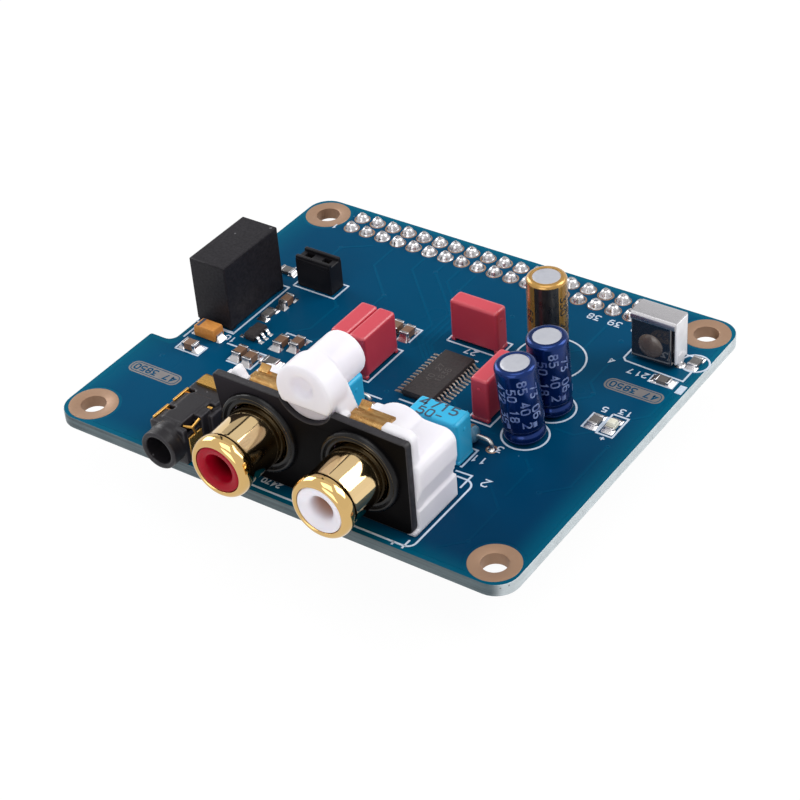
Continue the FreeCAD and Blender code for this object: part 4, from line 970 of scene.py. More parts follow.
# Colour, colour or share of its clouds, roughness and its swing, metal, grain and cloud scale, relief in mm, more
FINISHES = {
    "lacquer over copper": ("board.mask", "board.mask_deep", 0.3, 0.05, 0.0, 2600, 45, 0.0, specular(0.035)),
    "lacquer over laminate": ((0, 84, 112), "board.mask", 0.3, 0.05, 0.0, 2600, 45, 0.0, specular(0.035)),
    "lacquer over tracks": ((0, 76, 110), "board.mask", 0.3, 0.05, 0.0, 2600, 45, 0.0, specular(0.035)),
    "laminate edge": ("board.laminate", 0.72, 0.55, 0.1, 0.0, 2400, 420, 0.02, {}),
    "screen print": ("board.silk", (168, 184, 204), 0.5, 0.1, 0.0, 5200, 1400, 0.004, {}),
    "plated pad": ("board.pad", 0.8, 0.46, 0.08, 0.3, 2400, 320, 0.004, specular(0.25, stretch=(1.0, 0.4, 1.0))),
    "dull plate": ((126, 122, 122), (104, 102, 104), 0.5, 0.08, 0.2, 2400, 500, 0.004, specular(0.2)),
    "dull lead": ((150, 140, 132), (108, 98, 92), 0.45, 0.1, 0.6, 2400, 900, 0.006, {}),
    "bright solder": ("board.solder", (150, 148, 150), 0.24, 0.1, 1.0, 2200, 700, 0.012, {}),
    "tinned lead": ((206, 203, 200), (160, 152, 146), 0.27, 0.1, 1.0, 2600, 800, 0.006, {}),
    "gold contact": ((214, 168, 88), (160, 112, 50), 0.3, 0.08, 0.9, 2400, 600, 0.004, {}),
    "socket black": ((20, 19, 22), (30, 29, 32), 0.42, 0.08, 0.0, 5200, 300, 0.002, specular(0.14)),
    "collar black": ((13, 12, 14), (18, 17, 19), 0.26, 0.06, 0.0, 3200, 300, 0.003, specular(0.2)),
    "front plate black": ("sockets.plate", (6, 5, 6), 0.4, 0.08, 0.0, 5600, 260, 0.007, specular(0.025, dust=700.0)),
    "plate rim": ((40, 38, 42), (24, 22, 25), 0.5, 0.1, 0.0, 3600, 900, 0.01, specular(0.3, dust=2600.0)),
    "gold plate": ("sockets.gold", "sockets.gold_deep", 0.07, 0.03, 1.0, 900, 140, 0.0012, {"amount": 0.5}),
    "white moulding": ("sockets.housing", (228, 224, 233), 0.36, 0.06, 0.0, 3600, 120, 0.0015, HOUSING_GLOSS),
    "red insert": ("sockets.red", 0.8, 0.3, 0.05, 0.0, 4000, 200, 0.002, INSERT_GLOSS),
    "white insert": ("sockets.white", 0.8, 0.3, 0.05, 0.0, 4000, 200, 0.002, INSERT_GLOSS),
    "brass strap": ("sockets.brass", (112, 76, 36), 0.34, 0.12, 1.0, 2600, 950, 0.02, {"amount": 0.95}),
    "headphone charcoal": (
        "sockets.jack", (26, 24, 28), 0.4, 0.07, 0.0, 5200, 320, 0.006,
        specular(0.25, wear=(84, 82, 88), dust=800.0)),
    "block black": (
        (16, 15, 19), (11, 10, 13), 0.36, 0.05, 0.0, 4800, 160, 0.002,
        specular(0.1, wear=(50, 48, 52), dust=620.0)),
    "potting resin": ((50, 48, 47), (34, 33, 33), 0.5, 0.12, 0.0, 1500, 420, 0.03, {}),
    "shield tin": ("parts.shield", 0.78, 0.27, 0.08, 1.0, 1600, 500, 0.006, {"stretch": (0.12, 1.0, 1.0)}),
    "dark epoxy": (
        (28, 28, 36), (50, 40, 36), 0.08, 0.02, 0.0, 1500, 300, 0.0, coated(1.0, 0.04, **specular(1.0))),
    "dull tin": ((238, 238, 242), (216, 214, 217), 0.4, 0.08, 0.2, 2400, 600, 0.004, {}),
    "smoked lens": ((92, 80, 74), (66, 58, 58), 0.26, 0.06, 0.0, 1500, 500, 0.0, specular(0.6)),
    "red film box": ("parts.film_red", (193, 52, 68), 0.36, 0.05, 0.0, 5200, 160, 0.0, specular(0.75)),
    "blue film box": ("parts.film_blue", (44, 174, 220), 0.34, 0.05, 0.0, 5200, 160, 0.0, specular(0.4)),
    "dark print": ((38, 52, 72), (60, 84, 110), 0.55, 0.08, 0.0, 4200, 1500, 0.003, {}),
    "pale print": ((138, 156, 200), (48, 68, 130), 0.4, 0.08, 0.0, 4200, 1500, 0.003, {"amount": 1.0}),
    "black print": ((24, 22, 22), (42, 38, 34), 0.3, 0.08, 0.0, 3200, 900, 0.003, coated(0.4, 0.08)),
    "blue sleeve": (
        "parts.sleeve_blue", (5, 22, 64), 0.2, 0.05, 0.65, 1800, 260, 0.003, coated(0.12, 0.04, **specular(0.3))),
    "gold sleeve": ("parts.sleeve_gold", (158, 112, 46), 0.26, 0.06, 0.55, 1800, 300, 0.004, coated(0.5, 0.08)),
    "can end": ((186, 188, 196), (160, 162, 172), 0.42, 0.08, 0.25, 2600, 700, 0.008, {}),
    "chip black": (
        (32, 28, 30), (42, 37, 38), 0.5, 0.08, 0.0, 5200, 240, 0.008, specular(0.2, wear=(64, 60, 60))),
    "chip mark": ((66, 60, 59), (46, 42, 42), 0.5, 0.08, 0.0, 4200, 1500, 0.003, {}),
    "amber case": ("parts.tantalum", (174, 98, 28), 0.4, 0.06, 0.0, 3800, 400, 0.006, {"wear": (226, 168, 88)}),
    "brown ceramic": ((122, 92, 70), (94, 68, 50), 0.4, 0.06, 0.0, 3800, 700, 0.006, {}),
    "grey resistor": ((104, 100, 98), (70, 68, 68), 0.35, 0.08, 0.0, 3800, 700, 0.006, {}),
    "clear lens": ((232, 232, 220), (222, 216, 186), 0.12, 0.04, 0.0, 2200, 900, 0.003, coated(0.5, 0.05)),
    "blue lacquered body": ((96, 148, 176), (74, 124, 156), 0.3, 0.06, 0.0, 3000, 400, 0.006, {}),
}


def finish_named(name):
    """The finish of a name, made when it is first asked for."""
    found = bpy.data.materials.get(name)
    if found:
        return found
    made = plain_finish(name, *FINISHES[name])
    if name in LAYERS:
        LAYERS[name](made)
    return made.material


# Board

MOUNT_HOLE = 1.6
BOARD_ROUNDING = 0.06
POUR_THICKNESS = 0.05
TRACK_WIDTH = 0.34
TRACK_WIDTH_BELOW = 0.4
TRACK_RISE = 0.04
PAD_CLEARANCE = 3.5
VIA_PROFILE = ((0.14, 0.0), (0.17, 0.05), (0.3, 0.055), (0.4, 0.0))
BOARD_EDGE = (
    (32.5, -28.0, 3.0), (32.5, 28.0, 3.0), (-32.5, 28.0, 3.0), (-32.5, 8.7, 0.35),
    (-29.0, 8.7, 1.2), (-29.0, -9.3, 1.2), (-32.5, -9.3, 0.35), (-32.5, -28.0, 3.0),
)
TRACKS = (
    ((1.9, 4.4), (0.4, 5.9), (0.4, 14.0), (-3.1, 17.5), (-3.1, 21.6)),
    ((1.9, 3.8), (-0.4, 6.1), (-0.4, 13.4), (-5.6, 18.6), (-5.6, 21.6)),
    ((1.9, 3.1), (-1.2, 6.2), (-1.2, 12.8), (-8.1, 19.7), (-8.1, 21.6)),
    ((1.9, 2.4), (-2.0, 6.3), (-2.0, 9.6), (-11.2, 18.8), (-11.2, 21.6)),
    ((8.8, 4.4), (10.6, 6.2), (10.6, 16.2), (9.6, 17.2), (9.6, 21.6)),
    ((8.8, 3.8), (11.4, 6.4), (11.4, 8.2), (17.4, 14.2), (17.4, 21.6)),
    ((8.8, -2.0), (12.2, -5.4), (17.0, -5.4)),
    ((8.8, -3.0), (11.0, -5.2), (11.0, -7.0)),
    ((22.4, -1.0), (25.0, -1.0), (27.0, 1.0)),
    ((21.3, 4.6), (23.0, 6.3), (23.0, 7.4), (21.6, 8.8), (21.6, 14.0), (24.0, 16.4)),
    ((29.4, 4.9), (31.0, 6.5), (31.0, 11.6), (30.0, 12.6)),
    ((24.0, -14.4), (24.0, -9.0), (22.5, -7.5)),
    ((-22.0, -2.2), (-23.6, -0.6), (-23.6, 6.0)),
    ((-18.6, -4.2), (-17.2, -4.2), (-16.6, -4.8)),
    ((-18.6, -2.2), (-15.0, 1.4), (-15.0, 7.0), (-18.0, 10.0)),
    ((-14.1, -1.3), (-11.0, 1.8), (-11.0, 12.0), (-16.2, 17.2), (-16.2, 21.6)),
    ((-12.0, -7.0), (-8.8, -7.0), (-7.6, -5.8), (-7.6, -3.0)),
    ((-24.0, 10.4), (-22.6, 11.8), (-22.6, 18.6), (-19.1, 21.0)),
    ((20.4, -12.5), (24.6, -16.7), (24.6, -23.0), (22.0, -25.6)),
    ((27.0, -12.0), (29.6, -9.4), (29.6, -1.0)),
)
VIAS = (
    (0.4, 14.0), (-3.1, 17.5), (-8.1, 19.7), (10.6, 16.2), (17.4, 14.2), (23.0, 7.0), (24.0, -9.0), (27.0, -12.0),
    (29.6, -1.0), (-23.6, 6.0), (-15.0, 7.0), (-11.0, 12.0), (-22.6, 18.6), (-12.5, 4.0), (-26.5, 14.0), (24.6, -23.0),
    (20.6, 18.0), (6.0, 16.0), (-9.5, -3.5), (9.8, -6.6), (1.0, -4.8), (24.5, 20.0), (29.3, 4.6), (-28.0, -12.5),
)


def pour_outline():
    """Edge of the copper: inside the board's edge, and round the mounting pads and the cut-out."""
    def round_pad(mount, bearing):
        return circle(*mount, PAD_CLEARANCE, 28, bearing - 83.2, bearing + 83.2 - 360)

    front_left, front_right, rear_right, rear_left = MOUNTS
    outline = round_pad(front_right, -45) + round_pad(rear_right, 45) + round_pad(rear_left, 135)
    outline += [(-31.75, 9.45), (-28.9, 9.45), (-28.25, 8.8), (-28.25, -9.4), (-28.9, -10.05), (-31.75, -10.05)]
    return outline + round_pad(front_left, 225)


def cap_or_side(cap, side, axis):
    """Finish of a flat cap, square to an axis, or of the wall between two caps."""
    def pick(points):
        heights = [p[axis] for p in points]
        return cap if max(heights) - min(heights) < 0.01 else side
    return pick


def make_board():
    under = -BOARD_THICKNESS
    holes = [circle(x, y, MOUNT_HOLE + 0.03, 40)[::-1] for x, y in MOUNTS]
    board = Form()
    board.add(filled_plate(rounded(BOARD_EDGE), holes, BOARD_THICKNESS, BOARD_ROUNDING), cap_or_side(0, 1, 2),
              shift(0, 0, under / 2))
    board.place("board_laminate", "solder_mask", ["lacquer over laminate", "laminate edge"], ["circuit_board"])
    pour = Form()
    for height in (0.0, under):
        pour.add(filled_plate(pour_outline(), [], POUR_THICKNESS, 0.015), 0, shift(0, 0, height))
    pour.place("board_lacquer", "solder_mask", ["lacquer over copper"])
    tracks = Form()
    for number, line in enumerate(TRACKS):
        rise = TRACK_RISE + number % 4 * 0.001
        tracks.add(strip(line, TRACK_WIDTH, 0.0, rise))
        mirrored = [(-x * 0.93, y * 0.9 - 1.0) for x, y in line]
        tracks.add(strip(mirrored, TRACK_WIDTH_BELOW, under - 0.003 - rise, under))
    tracks.place("board_tracks", "solder_mask", ["lacquer over tracks"])
    vias = Form()
    for x, y in VIAS:
        for move in (shift(x, y, 0), below(x, y)):
            vias.add(turned(VIA_PROFILE, 16, True), 0, move)
    vias.place("board_vias", "solder_mask", ["lacquer over tracks"])
    outer = looks("dac_board").pad_radius / MM
    top = [(outer, 0.0), (outer - 0.04, 0.045), (MOUNT_HOLE + 0.09, 0.05), (MOUNT_HOLE, -0.01)]
    profile = top + [(radius, under - height) for radius, height in top[::-1]]
    pads = Form()
    for x, y in MOUNTS:
        pads.add(turned(profile, 64, True), 0, shift(x, y, 0))
    pads.place("mounting_pads", "plated_pad", ["plated pad"])


PRINTED_LINES = (
    ((27.1, 4.7), (27.1, 0.7), (29.2, 0.7), (29.2, 4.7), (27.1, 4.7)),
    ((25.0, 3.95), (25.0, 0.95), (26.85, 0.95), (26.85, 3.95)),
    ((31.17, 17.03), (31.16, 14.37), (23.07, 14.75), (22.6, 15.2), (22.6, 19.4), (30.2, 19.4)),
    ((27.5, 13.95), (27.5, 12.45), (30.7, 12.45), (30.7, 13.95), (27.5, 13.95)),
    ((19.0, -27.2), (-12.0, -27.2)),
    ((16.65, -13.36), (18.81, -13.26), (18.79, -15.73)),
    ((16.65, -12.45), (16.88, -12.45), (16.88, -9.0), (9.3, -9.0)),
    ((9.3, -9.0), (9.3, -12.9)),
    ((-5.9, -9.0), (1.7, -9.0), (1.7, -12.9)),
    ((-8.0, -4.4), (-8.0, 3.1), (-2.0, 3.1), (-2.0, -4.4), (-8.0, -4.4)),
    ((1.6, 7.7), (9.2, 7.7), (9.2, 10.9), (1.6, 10.9), (1.6, 7.7)),
    ((12.5, -4.5), (15.7, -4.5), (15.7, 3.1), (12.5, 3.1), (12.5, -4.5)),
    ((3.2, -5.3), (7.5, -5.3)),
    ((3.2, 5.7), (7.5, 5.7)),
    ((-22.4, -6.4), (-20.4, -6.4)),
    ((-28.2, -8.0), (-28.2, -4.2), (-23.0, -4.2)),
    ((-27.6, -10.4), (-24.0, -10.4), (-24.0, -8.5), (-27.6, -8.5), (-27.6, -10.4)),
    ((-20.2, -9.1), (-20.2, -6.1), (-16.4, -6.1), (-16.4, -9.4), (-20.2, -9.4)),
    ((-17.0, -4.9), (-17.0, -0.9), (-13.1, -0.9)),
    ((-6.2, 4.9), (-6.2, 7.9), (-2.3, 7.9), (-2.3, 4.9)),
    ((-22.8, 8.2), (-16.3, 8.2), (-16.3, 11.5), (-22.8, 11.5), (-22.8, 8.2)),
    ((-29.0, -4.4), (-23.0, -4.4), (-23.0, 7.5), (-29.0, 7.5)),
    ((-9.6, -6.4), (1.4, -6.4)),
    ((-17.2, -17.2), (-10.2, -17.2), (-10.2, -27.4)),
    ((18.9, -26.1), (18.86, -27.62)),
    ((17.5, -27.2), (17.5, -27.68)),
)
DIGIT_LINE = 0.17
PRINT_RISE = 0.06
LABEL_PLATES = ((26.95, 9.88), (-26.4, -15.85))
PRINTED_RINGS = ((20.14, -3.77, 2.85), (20.26, 2.18, 2.85), (14.88, 10.57, 4.46), (30.75, 18.3, 1.75))
PRINTED_DIGITS = (
    ("11", 17.9, -10.3, 1.1), ("2", 20.9, -13.6, 1.2), ("3", 19.0, -7.6, 1.0), ("13", 28.3, 5.6, 0.9),
    ("5", 25.8, 5.0, 0.9), ("7", 24.7, 13.2, 0.9), ("21", 26.2, 13.2, 0.9), ("+", 28.26, 0.05, 0.9),
    ("4", 21.6, 13.9, 0.9), ("27", 5.6, 7.0, 0.9), ("9", 1.2, 12.0, 0.9), ("10", -22.7, -5.4, 0.9),
    ("12", -14.4, -9.0, 0.9), ("8", -12.4, -4.6, 0.9), ("6", -19.6, 12.6, 0.9), ("14", -8.4, 6.4, 0.9),
    ("40", 21.4, 21.0, 1.0), ("39 38", 16.6, 20.9, 1.0), ("1", -26.4, 22.6, 0.9), ("15", -24.4, 12.2, 0.9),
    ("16", 19.6, 5.8, 0.9), ("2470", -0.6, -25.8, 0.7),
)

# On the underside, where the front edge is at the top
PRINTED_BELOW = (
    ((-26.9, -21.5), (26.9, -21.5), (26.9, -27.4), (-26.9, -27.4), (-26.9, -21.5)),
    ((-9.6, 18.6), (-9.6, 27.2), (20.0, 27.2), (20.0, 18.6), (-9.6, 18.6)),
    ((-17.6, 16.6), (-9.8, 16.6)),
    ((-28.2, -6.6), (-24.4, -6.6), (-24.4, 3.4), (-28.2, 3.4)),
    ((-7.8, -3.4), (-1.8, -3.4), (-1.8, 4.6), (-7.8, 4.6), (-7.8, -3.4)),
    ((12.4, -3.4), (23.4, -3.4), (23.4, 5.6), (12.4, 5.6), (12.4, -3.4)),
)
DIGITS_BELOW = (
    ("1", -27.9, -25.8, 1.1), ("2", -27.9, -23.2, 1.1), ("39", 28.4, -19.6, 1.1), ("40", 25.2, -19.6, 1.1),
    ("12", -13.6, 15.2, 1.0), ("5", -5.0, -4.6, 1.0), ("8", 18.0, 7.0, 1.0), ("3", -22.8, -1.4, 1.0),
    ("60", 4.0, 16.8, 1.2), ("+", 24.4, 1.0, 1.0),
)


def make_print():
    line = looks("dac_board").silk_line / MM
    ink = Form()
    for number, run in enumerate(PRINTED_LINES):
        ink.add(strip(run, line, 0.0, 0.058 + number % 3 * 0.002))
    corner = rounded([(19.8, -27.2, 0.0), (19.84, -14.15, 1.2), (17.3, -14.15, 0.0)], 6)
    ink.add(strip([(19.0, -27.2)] + circle(18.75, -26.15, 1.05, 6, -90, 0) + corner[1:], line, 0.0, 0.064))
    for x, y, radius in PRINTED_RINGS:
        ink.add(strip(circle(x, y, radius, 64), line, 0.0, 0.066, closed=True))
    for text, x, y, height in PRINTED_DIGITS:
        ink.write(text, height, DIGIT_LINE, 0.0, PRINT_RISE, on_plane(shift(x, y, 0) @ turn(180, "Z")))
    ink.add(strip([(31.75, 11.9), (31.75, 13.6)], 0.9, 0.0, 0.05))
    for run in PRINTED_BELOW:
        ink.add(strip(run, line, 0.0, PRINT_RISE, lay=on_plane(below(0, 0))))
    for text, x, y, height in DIGITS_BELOW:
        ink.write(text, height, DIGIT_LINE, 0.0, PRINT_RISE, on_plane(below(0, 0) @ shift(x, y, 0)))
    ink.place("board_print", "silkscreen", ["screen print"])
    plates = Form()
    for x, y in LABEL_PLATES:
        outline = round_cornered(x - 3.9, x + 3.9, y - 1.12, y + 1.12, 0.95, 8)
        plates.add(filled_plate(outline, [], 0.11, 0.02))
        ring = round_cornered(x - 3.6, x + 3.6, y - 0.86, y + 0.86, 0.7, 6)
        plates.add(strip(ring, 0.1, 0.0, 0.064, closed=True), 1)
        plates.write("47 3850", 0.94, 0.2, 0.0, 0.064, on_plane(shift(x, y, 0) @ turn(180, "Z")), 1)
    plates.place("label_plates", "plated_pad", ["dull plate", "lacquer over copper"])


# Header

JOINT_DOME = (
    (0.0, -0.02), (1.04, -0.02), (1.03, 0.05), (0.94, 0.14), (0.86, 0.34), (0.76, 0.58), (0.6, 0.82), (0.38, 0.98),
    (0.0, 1.04),
)


def make_header():
    spread = random.Random(7)
    height = looks("dac_board").joint_height / MM
    joints = Form()
    for x in HEADER_X:
        for y in HEADER_Y:
            wide, tall = spread.uniform(0.9, 1.02), spread.uniform(0.86, 1.0) * height
            lean = turn(spread.uniform(-5, 5), "X") @ turn(spread.uniform(-5, 5), "Y")
            profile = [(r * wide, h * tall / JOINT_DOME[-1][1]) for r, h in JOINT_DOME]
            joints.add(turned(profile, 20), 0, shift(x, y, 0) @ lean)
            pin = block((-0.26, -0.26, 0.4), (0.26, 0.26, tall + 0.12), 0.11, 2)
            joints.add(pin, 0, shift(x, y, 0) @ turn(spread.uniform(0, 90), "Z"))
            for move in (shift(x, y, 0), below(x, y)):
                joints.add(plated_ring(0.4, 1.13), 1, move)
    joints.place("header_joints", "solder", ["bright solder", "plated pad"], ["header_solder_joints"])
    low, high = cad("header_socket_housing")
    middle = (low + high) / 2
    body = Form()
    shape = socket_body(20, 2, PITCH, high.y - low.y, high.z - low.z, 0.0, opening=1.5, slot=0.92, slot_floor=1.8)
    body.add(shape, 0, shift(middle.x, middle.y, high.z) @ turn(180, "X"))
    body.place("header_socket", "header_black", ["socket black"], ["header_socket_housing"])
    dress("header_socket_contacts", "gold contact")


# Phono pair

def side_rounded(p, x0, x1, y0, y1, z0, z1, side, corner, edge):
    """Box with a wide rounding along its top edge on one side."""
    x, z = p[..., 0] - (x0 + x1) / 2, p[..., 2] - (z0 + z1) / 2
    radius = np.where((x * side >= 0) & (z > 0), corner, edge)
    qx, qz = np.abs(x) - (x1 - x0) / 2 + radius, np.abs(z) - (z1 - z0) / 2 + radius
    flat = np.hypot(np.maximum(qx, 0), np.maximum(qz, 0)) + np.minimum(np.maximum(qx, qz), 0) - radius
    along = np.abs(p[..., 1] - (y0 + y1) / 2) - (y1 - y0) / 2
    a, b = flat + edge, along + edge
    return np.hypot(np.maximum(a, 0), np.maximum(b, 0)) + np.minimum(np.maximum(a, b), 0) - edge


HOUSING_FRONT = -24.6
FLANGE_BACK = -23.2
BODY_BACK = -17.0


def phono_housing_field(p):
    """Distance to the white housing: flange, two vaulted bodies on a plinth, and the screw boss."""
    flange = box_field(p, (-7.5, HOUSING_FRONT, 0.0), (18.0, FLANGE_BACK, 12.8), 0.3)
    corner = (BOSS_X - p[..., 0] + p[..., 2] - 13.3 - 12.8) * math.sqrt(0.5) + 0.92
    whole = np.maximum(flange, corner)
    whole = np.minimum(whole, side_rounded(p, 15.0, 19.05, HOUSING_FRONT, FLANGE_BACK, 0.0, 13.4, 1, 1.0, 0.2))
    whole = np.minimum(whole, box_field(p, (-7.5, HOUSING_FRONT, 0.0), (19.3, -16.8, 3.2), 0.2))
    whole = np.minimum(whole, box_field(p, (17.9, -25.55, 0.0), (19.3, -24.3, 0.75), 0.2))
    for x, side, reach in zip(PHONO_AXES, (-1, 1), (6.0, 7.25)):
        ends = sorted((x - side * 3.6, x + side * reach))
        body = side_rounded(p, ends[0], ends[1], HOUSING_FRONT, BODY_BACK, 3.3, 9.7, side, 1.5, 0.35)
        lean = (p[..., 0] - x) * side - reach + np.maximum(6.2 - p[..., 2], 0) * 0.28
        vault = rod_field(p, x + side * 0.2, PHONO_Z, HOUSING_FRONT, BODY_BACK, 3.75, 0.3)
        whole = blended(whole, blended(np.maximum(body, lean), vault, 0.2), 0.15)
    lug = box_field(p, (-6.3, HOUSING_FRONT, 11.0), (-3.9, FLANGE_BACK, 14.0), 0.15)
    slopes = np.abs(p[..., 0] + 5.1) * 0.86 + (p[..., 2] - 14.0) * 0.5 - 0.14
    whole = np.minimum(whole, np.maximum(lug, slopes))
    head = rod_field(p, BOSS_X, BOSS_Z, -25.7, -22.2, 3.75, 0.4)
    head = without(head, box_field(p, (0.0, -27.0, 9.0), (11.0, -25.15, 13.1), 0.1), 0.1)
    skirt = np.abs(p[..., 0] - BOSS_X) - 3.1 - (15.5 - p[..., 2]) * 0.39
    skirt = np.maximum(skirt * 0.93, box_field(p, (-2.0, -24.4, 3.0), (13.0, -21.5, 15.5), 0.3))
    screw_tube = rod_field(p, BOSS_X, 15.7, -25.0, -17.4, 2.85, 0.35)
    boss = blended(blended(head, skirt, 0.25), screw_tube, 0.35)
    whole = blended(whole, boss, 0.3)
    whole = without(whole, rod_field(p, BOSS_X - 0.1, 15.75, -27.0, -25.0, 1.2, 0.5), 0.8)
    for x in PHONO_AXES:
        whole = without(whole, box_field(p, (x - 2.35, -26.0, 11.9), (x + 2.35, -23.0, 16.0), 0.1))
        whole = without(whole, rod_field(p, x, PHONO_Z, -26.0, -20.8, 3.2, 0.1))
        whole = without(whole, box_field(p, (x - 4.8, -26.0, 2.2), (x + 4.8, -23.55, 11.8), 0.1))
        whole = without(whole, box_field(p, (x - 2.35, -26.0, 6.0), (x + 2.35, -23.55, 13.0), 0.1))
    return whole


PLATE_THICKNESS = 1.0
COLLAR_PROFILE = (
    (5.3, -0.2), (5.27, 0.1), (5.2, 0.38), (5.06, 0.58), (4.9, 0.64), (4.76, 0.58), (4.7, 0.4), (4.66, 0.34),
    (4.56, 0.36), (4.44, 0.46), (4.28, 0.48), (4.12, 0.4), (4.06, 0.2), (4.05, -0.2),
)


def make_phono_housing():
    housing = Form()
    housing.add(moulded(phono_housing_field, (-8.9, -25.8, 0.0), (19.9, -16.7, 18.8), 0.2))
    housing.place("phono_moulding", "housing_white", ["white moulding"], ["phono_housing"], SHARP_MOULDED)
    notch = circle(BOSS_X, BOSS_Z, 3.9, 18, 206, 334)[::-1]
    outline = rounded([(-7.6, 0.2, 0.4), (19.05, 0.2, 1.0), (19.05, 13.3, 0.5)], 8)
    outline += notch + rounded([(1.0, 13.3, 0.0), (-7.6, 13.3, 0.5), (-7.6, 0.2, 0.4)], 8)[1:10]
    plate = Form()
    holes = [circle(x, PHONO_Z, 4.3, 56)[::-1] for x in PHONO_AXES]
    plate.add(filled_plate(outline, holes, PLATE_THICKNESS, 0.16), cap_or_side(0, 2, 1),
              forward(0, 0, PLATE_FRONT + PLATE_THICKNESS / 2))
    for x in PHONO_AXES:
        plate.add(turned(COLLAR_PROFILE, 96, True), 1, forward(x, PHONO_Z))
    plate.place("phono_plate", "plate_black", ["front plate black", "collar black", "plate rim"], ["phono_front_plate"])


SHELL_PROFILE = (
    (2.98, -1.0), (3.82, -1.0), (3.84, 0.2), (3.83, 0.36), (3.79, 0.44), (3.77, 0.6), (3.75, 1.6), (3.71, 3.4),
    (3.69, 5.7), (3.7, 5.92), (3.74, 6.06), (3.81, 6.18), (3.88, 6.34), (3.93, 6.56), (3.95, 6.82), (3.94, 7.08),
    (3.9, 7.32), (3.82, 7.54), (3.7, 7.74), (3.54, 7.89), (3.38, 7.97), (3.24, 8.0), (3.13, 7.99), (3.05, 7.94),
    (3.0, 7.85), (2.985, 7.7), (2.98, 7.4), (2.98, 3.0),
)
INSERT_PROFILES = {
    "red": (
        (0.0, 4.8), (1.05, 4.8), (1.2, 5.3), (1.38, 5.95), (1.6, 6.7), (1.78, 7.3), (1.9, 7.6), (2.02, 7.74),
        (2.2, 7.81),
    ),
    "white": (
        (0.0, 3.6), (1.44, 3.6), (1.46, 5.6), (1.48, 6.8), (1.52, 7.14), (1.62, 7.38), (1.8, 7.54), (2.1, 7.66),
        (2.4, 7.76),
    ),
}
INSERT_RIM = ((2.6, 7.86), (2.82, 7.87), (2.92, 7.82), (2.97, 7.6), (2.97, -3.9), (1.2, -3.95), (0.0, -3.95))


def make_phono_sockets():
    for x, name in zip(PHONO_AXES, ("red", "white")):
        Form().add(turned(SHELL_PROFILE, 120, True), 0, forward(x, PHONO_Z)).place(
            "phono_barrel_" + name, "gold_shell", ["gold plate"], ["phono_shell_" + name], SHARP_ROUND)
        Form().add(turned(INSERT_PROFILES[name] + INSERT_RIM, 96), 0, forward(x, PHONO_Z)).place(
            "phono_funnel_" + name, "insert_" + name, [name + " insert"], ["phono_insert_" + name], SHARP_ROUND)
        dress("phono_centre_contact_" + name, "tinned lead")
        make_strap(x, name)


def make_strap(x, name):
    """Die-cut brass strap: up behind the shell, over the flange and back, with one curled corner."""
    strap = Form()
    path = [(-23.8, 6.0), (-23.8, 11.6), (-23.78, 12.0), (-23.66, 12.24), (-23.4, 12.34), (-22.8, 12.36),
            (-22.0, 12.33), (-21.3, 12.26)]
    strap.add(band(path, 4.5, 0.34), 0, side_on(x))
    curl = [(-21.9, 12.42), (-21.5, 12.55), (-21.15, 12.78), (-20.98, 13.02)]
    strap.add(band(curl, 1.3, 0.26), 0, side_on(x - 1.75))
    strap.add(block((x - 2.75, -23.4, 12.05), (x - 2.1, -21.9, 12.42), 0.14, 2))
    strap.add(block((x - 4.65, -23.98, 2.4), (x + 4.65, -23.62, 11.6), 0.1, 1))
    strap.add(block((x - 0.6, -23.98, LEAD_END), (x + 0.6, -23.62, 4.0), 0.08, 1))
    strap.place("phono_strap_" + name, "strap_brass", ["brass strap"], ["phono_earth_strap_" + name], SHARP_ROUND)


# Headphone socket

# Lowest and highest corners, rounding, and for an opening the softness of its rim
JACK_BOXES = (
    ((-16.25, -28.1, 0.0), (-11.15, -18.0, 4.9), 0.22),
    ((-11.6, -23.6, 0.0), (-10.55, -18.0, 4.4), 0.18),
    ((-15.3, -26.9, 4.0), (-12.2, -21.4, 5.02), 0.12),
)
JACK_OPENINGS = (
    ((-16.6, -27.55, -1.0), (-15.86, -24.65, 6.0), 0.05, 0.1),
    ((-16.6, -23.85, -1.0), (-15.86, -20.95, 6.0), 0.05, 0.1),
    ((-15.9, -25.35, 3.6), (-15.0, -24.65, 6.0), 0.08, 0.1),
    ((-15.9, -21.65, 3.6), (-15.0, -20.95, 6.0), 0.08, 0.1),
    ((-12.3, -27.3, 3.4), (-10.0, -24.7, 6.0), 0.1, 0.12),
    ((-11.55, -27.25, -1.0), (-10.0, -24.75, 6.0), 0.05, 0.1),
    ((-12.0, -22.9, 4.3), (-10.9, -22.0, 6.0), 0.08, 0.1),
)


def jack_field(p):
    """Distance to the headphone socket's housing."""
    nose = rod_field(p, JACK_X, 2.5, -30.1, -27.0, 2.5, 0.22)
    collar = rod_field(p, JACK_X, 2.62, -28.6, -27.4, 2.5, 0.2)
    whole = blended(nose, collar, 0.2)
    for low, high, edge in JACK_BOXES:
        whole = np.minimum(whole, box_field(p, low, high, edge))
    whole = without(whole, rod_field(p, JACK_X, 2.5, -31.0, -19.6, 1.8, 0.05), 0.35)
    for low, high, edge, soft in JACK_OPENINGS:
        whole = without(whole, box_field(p, low, high, edge), soft)
    return whole


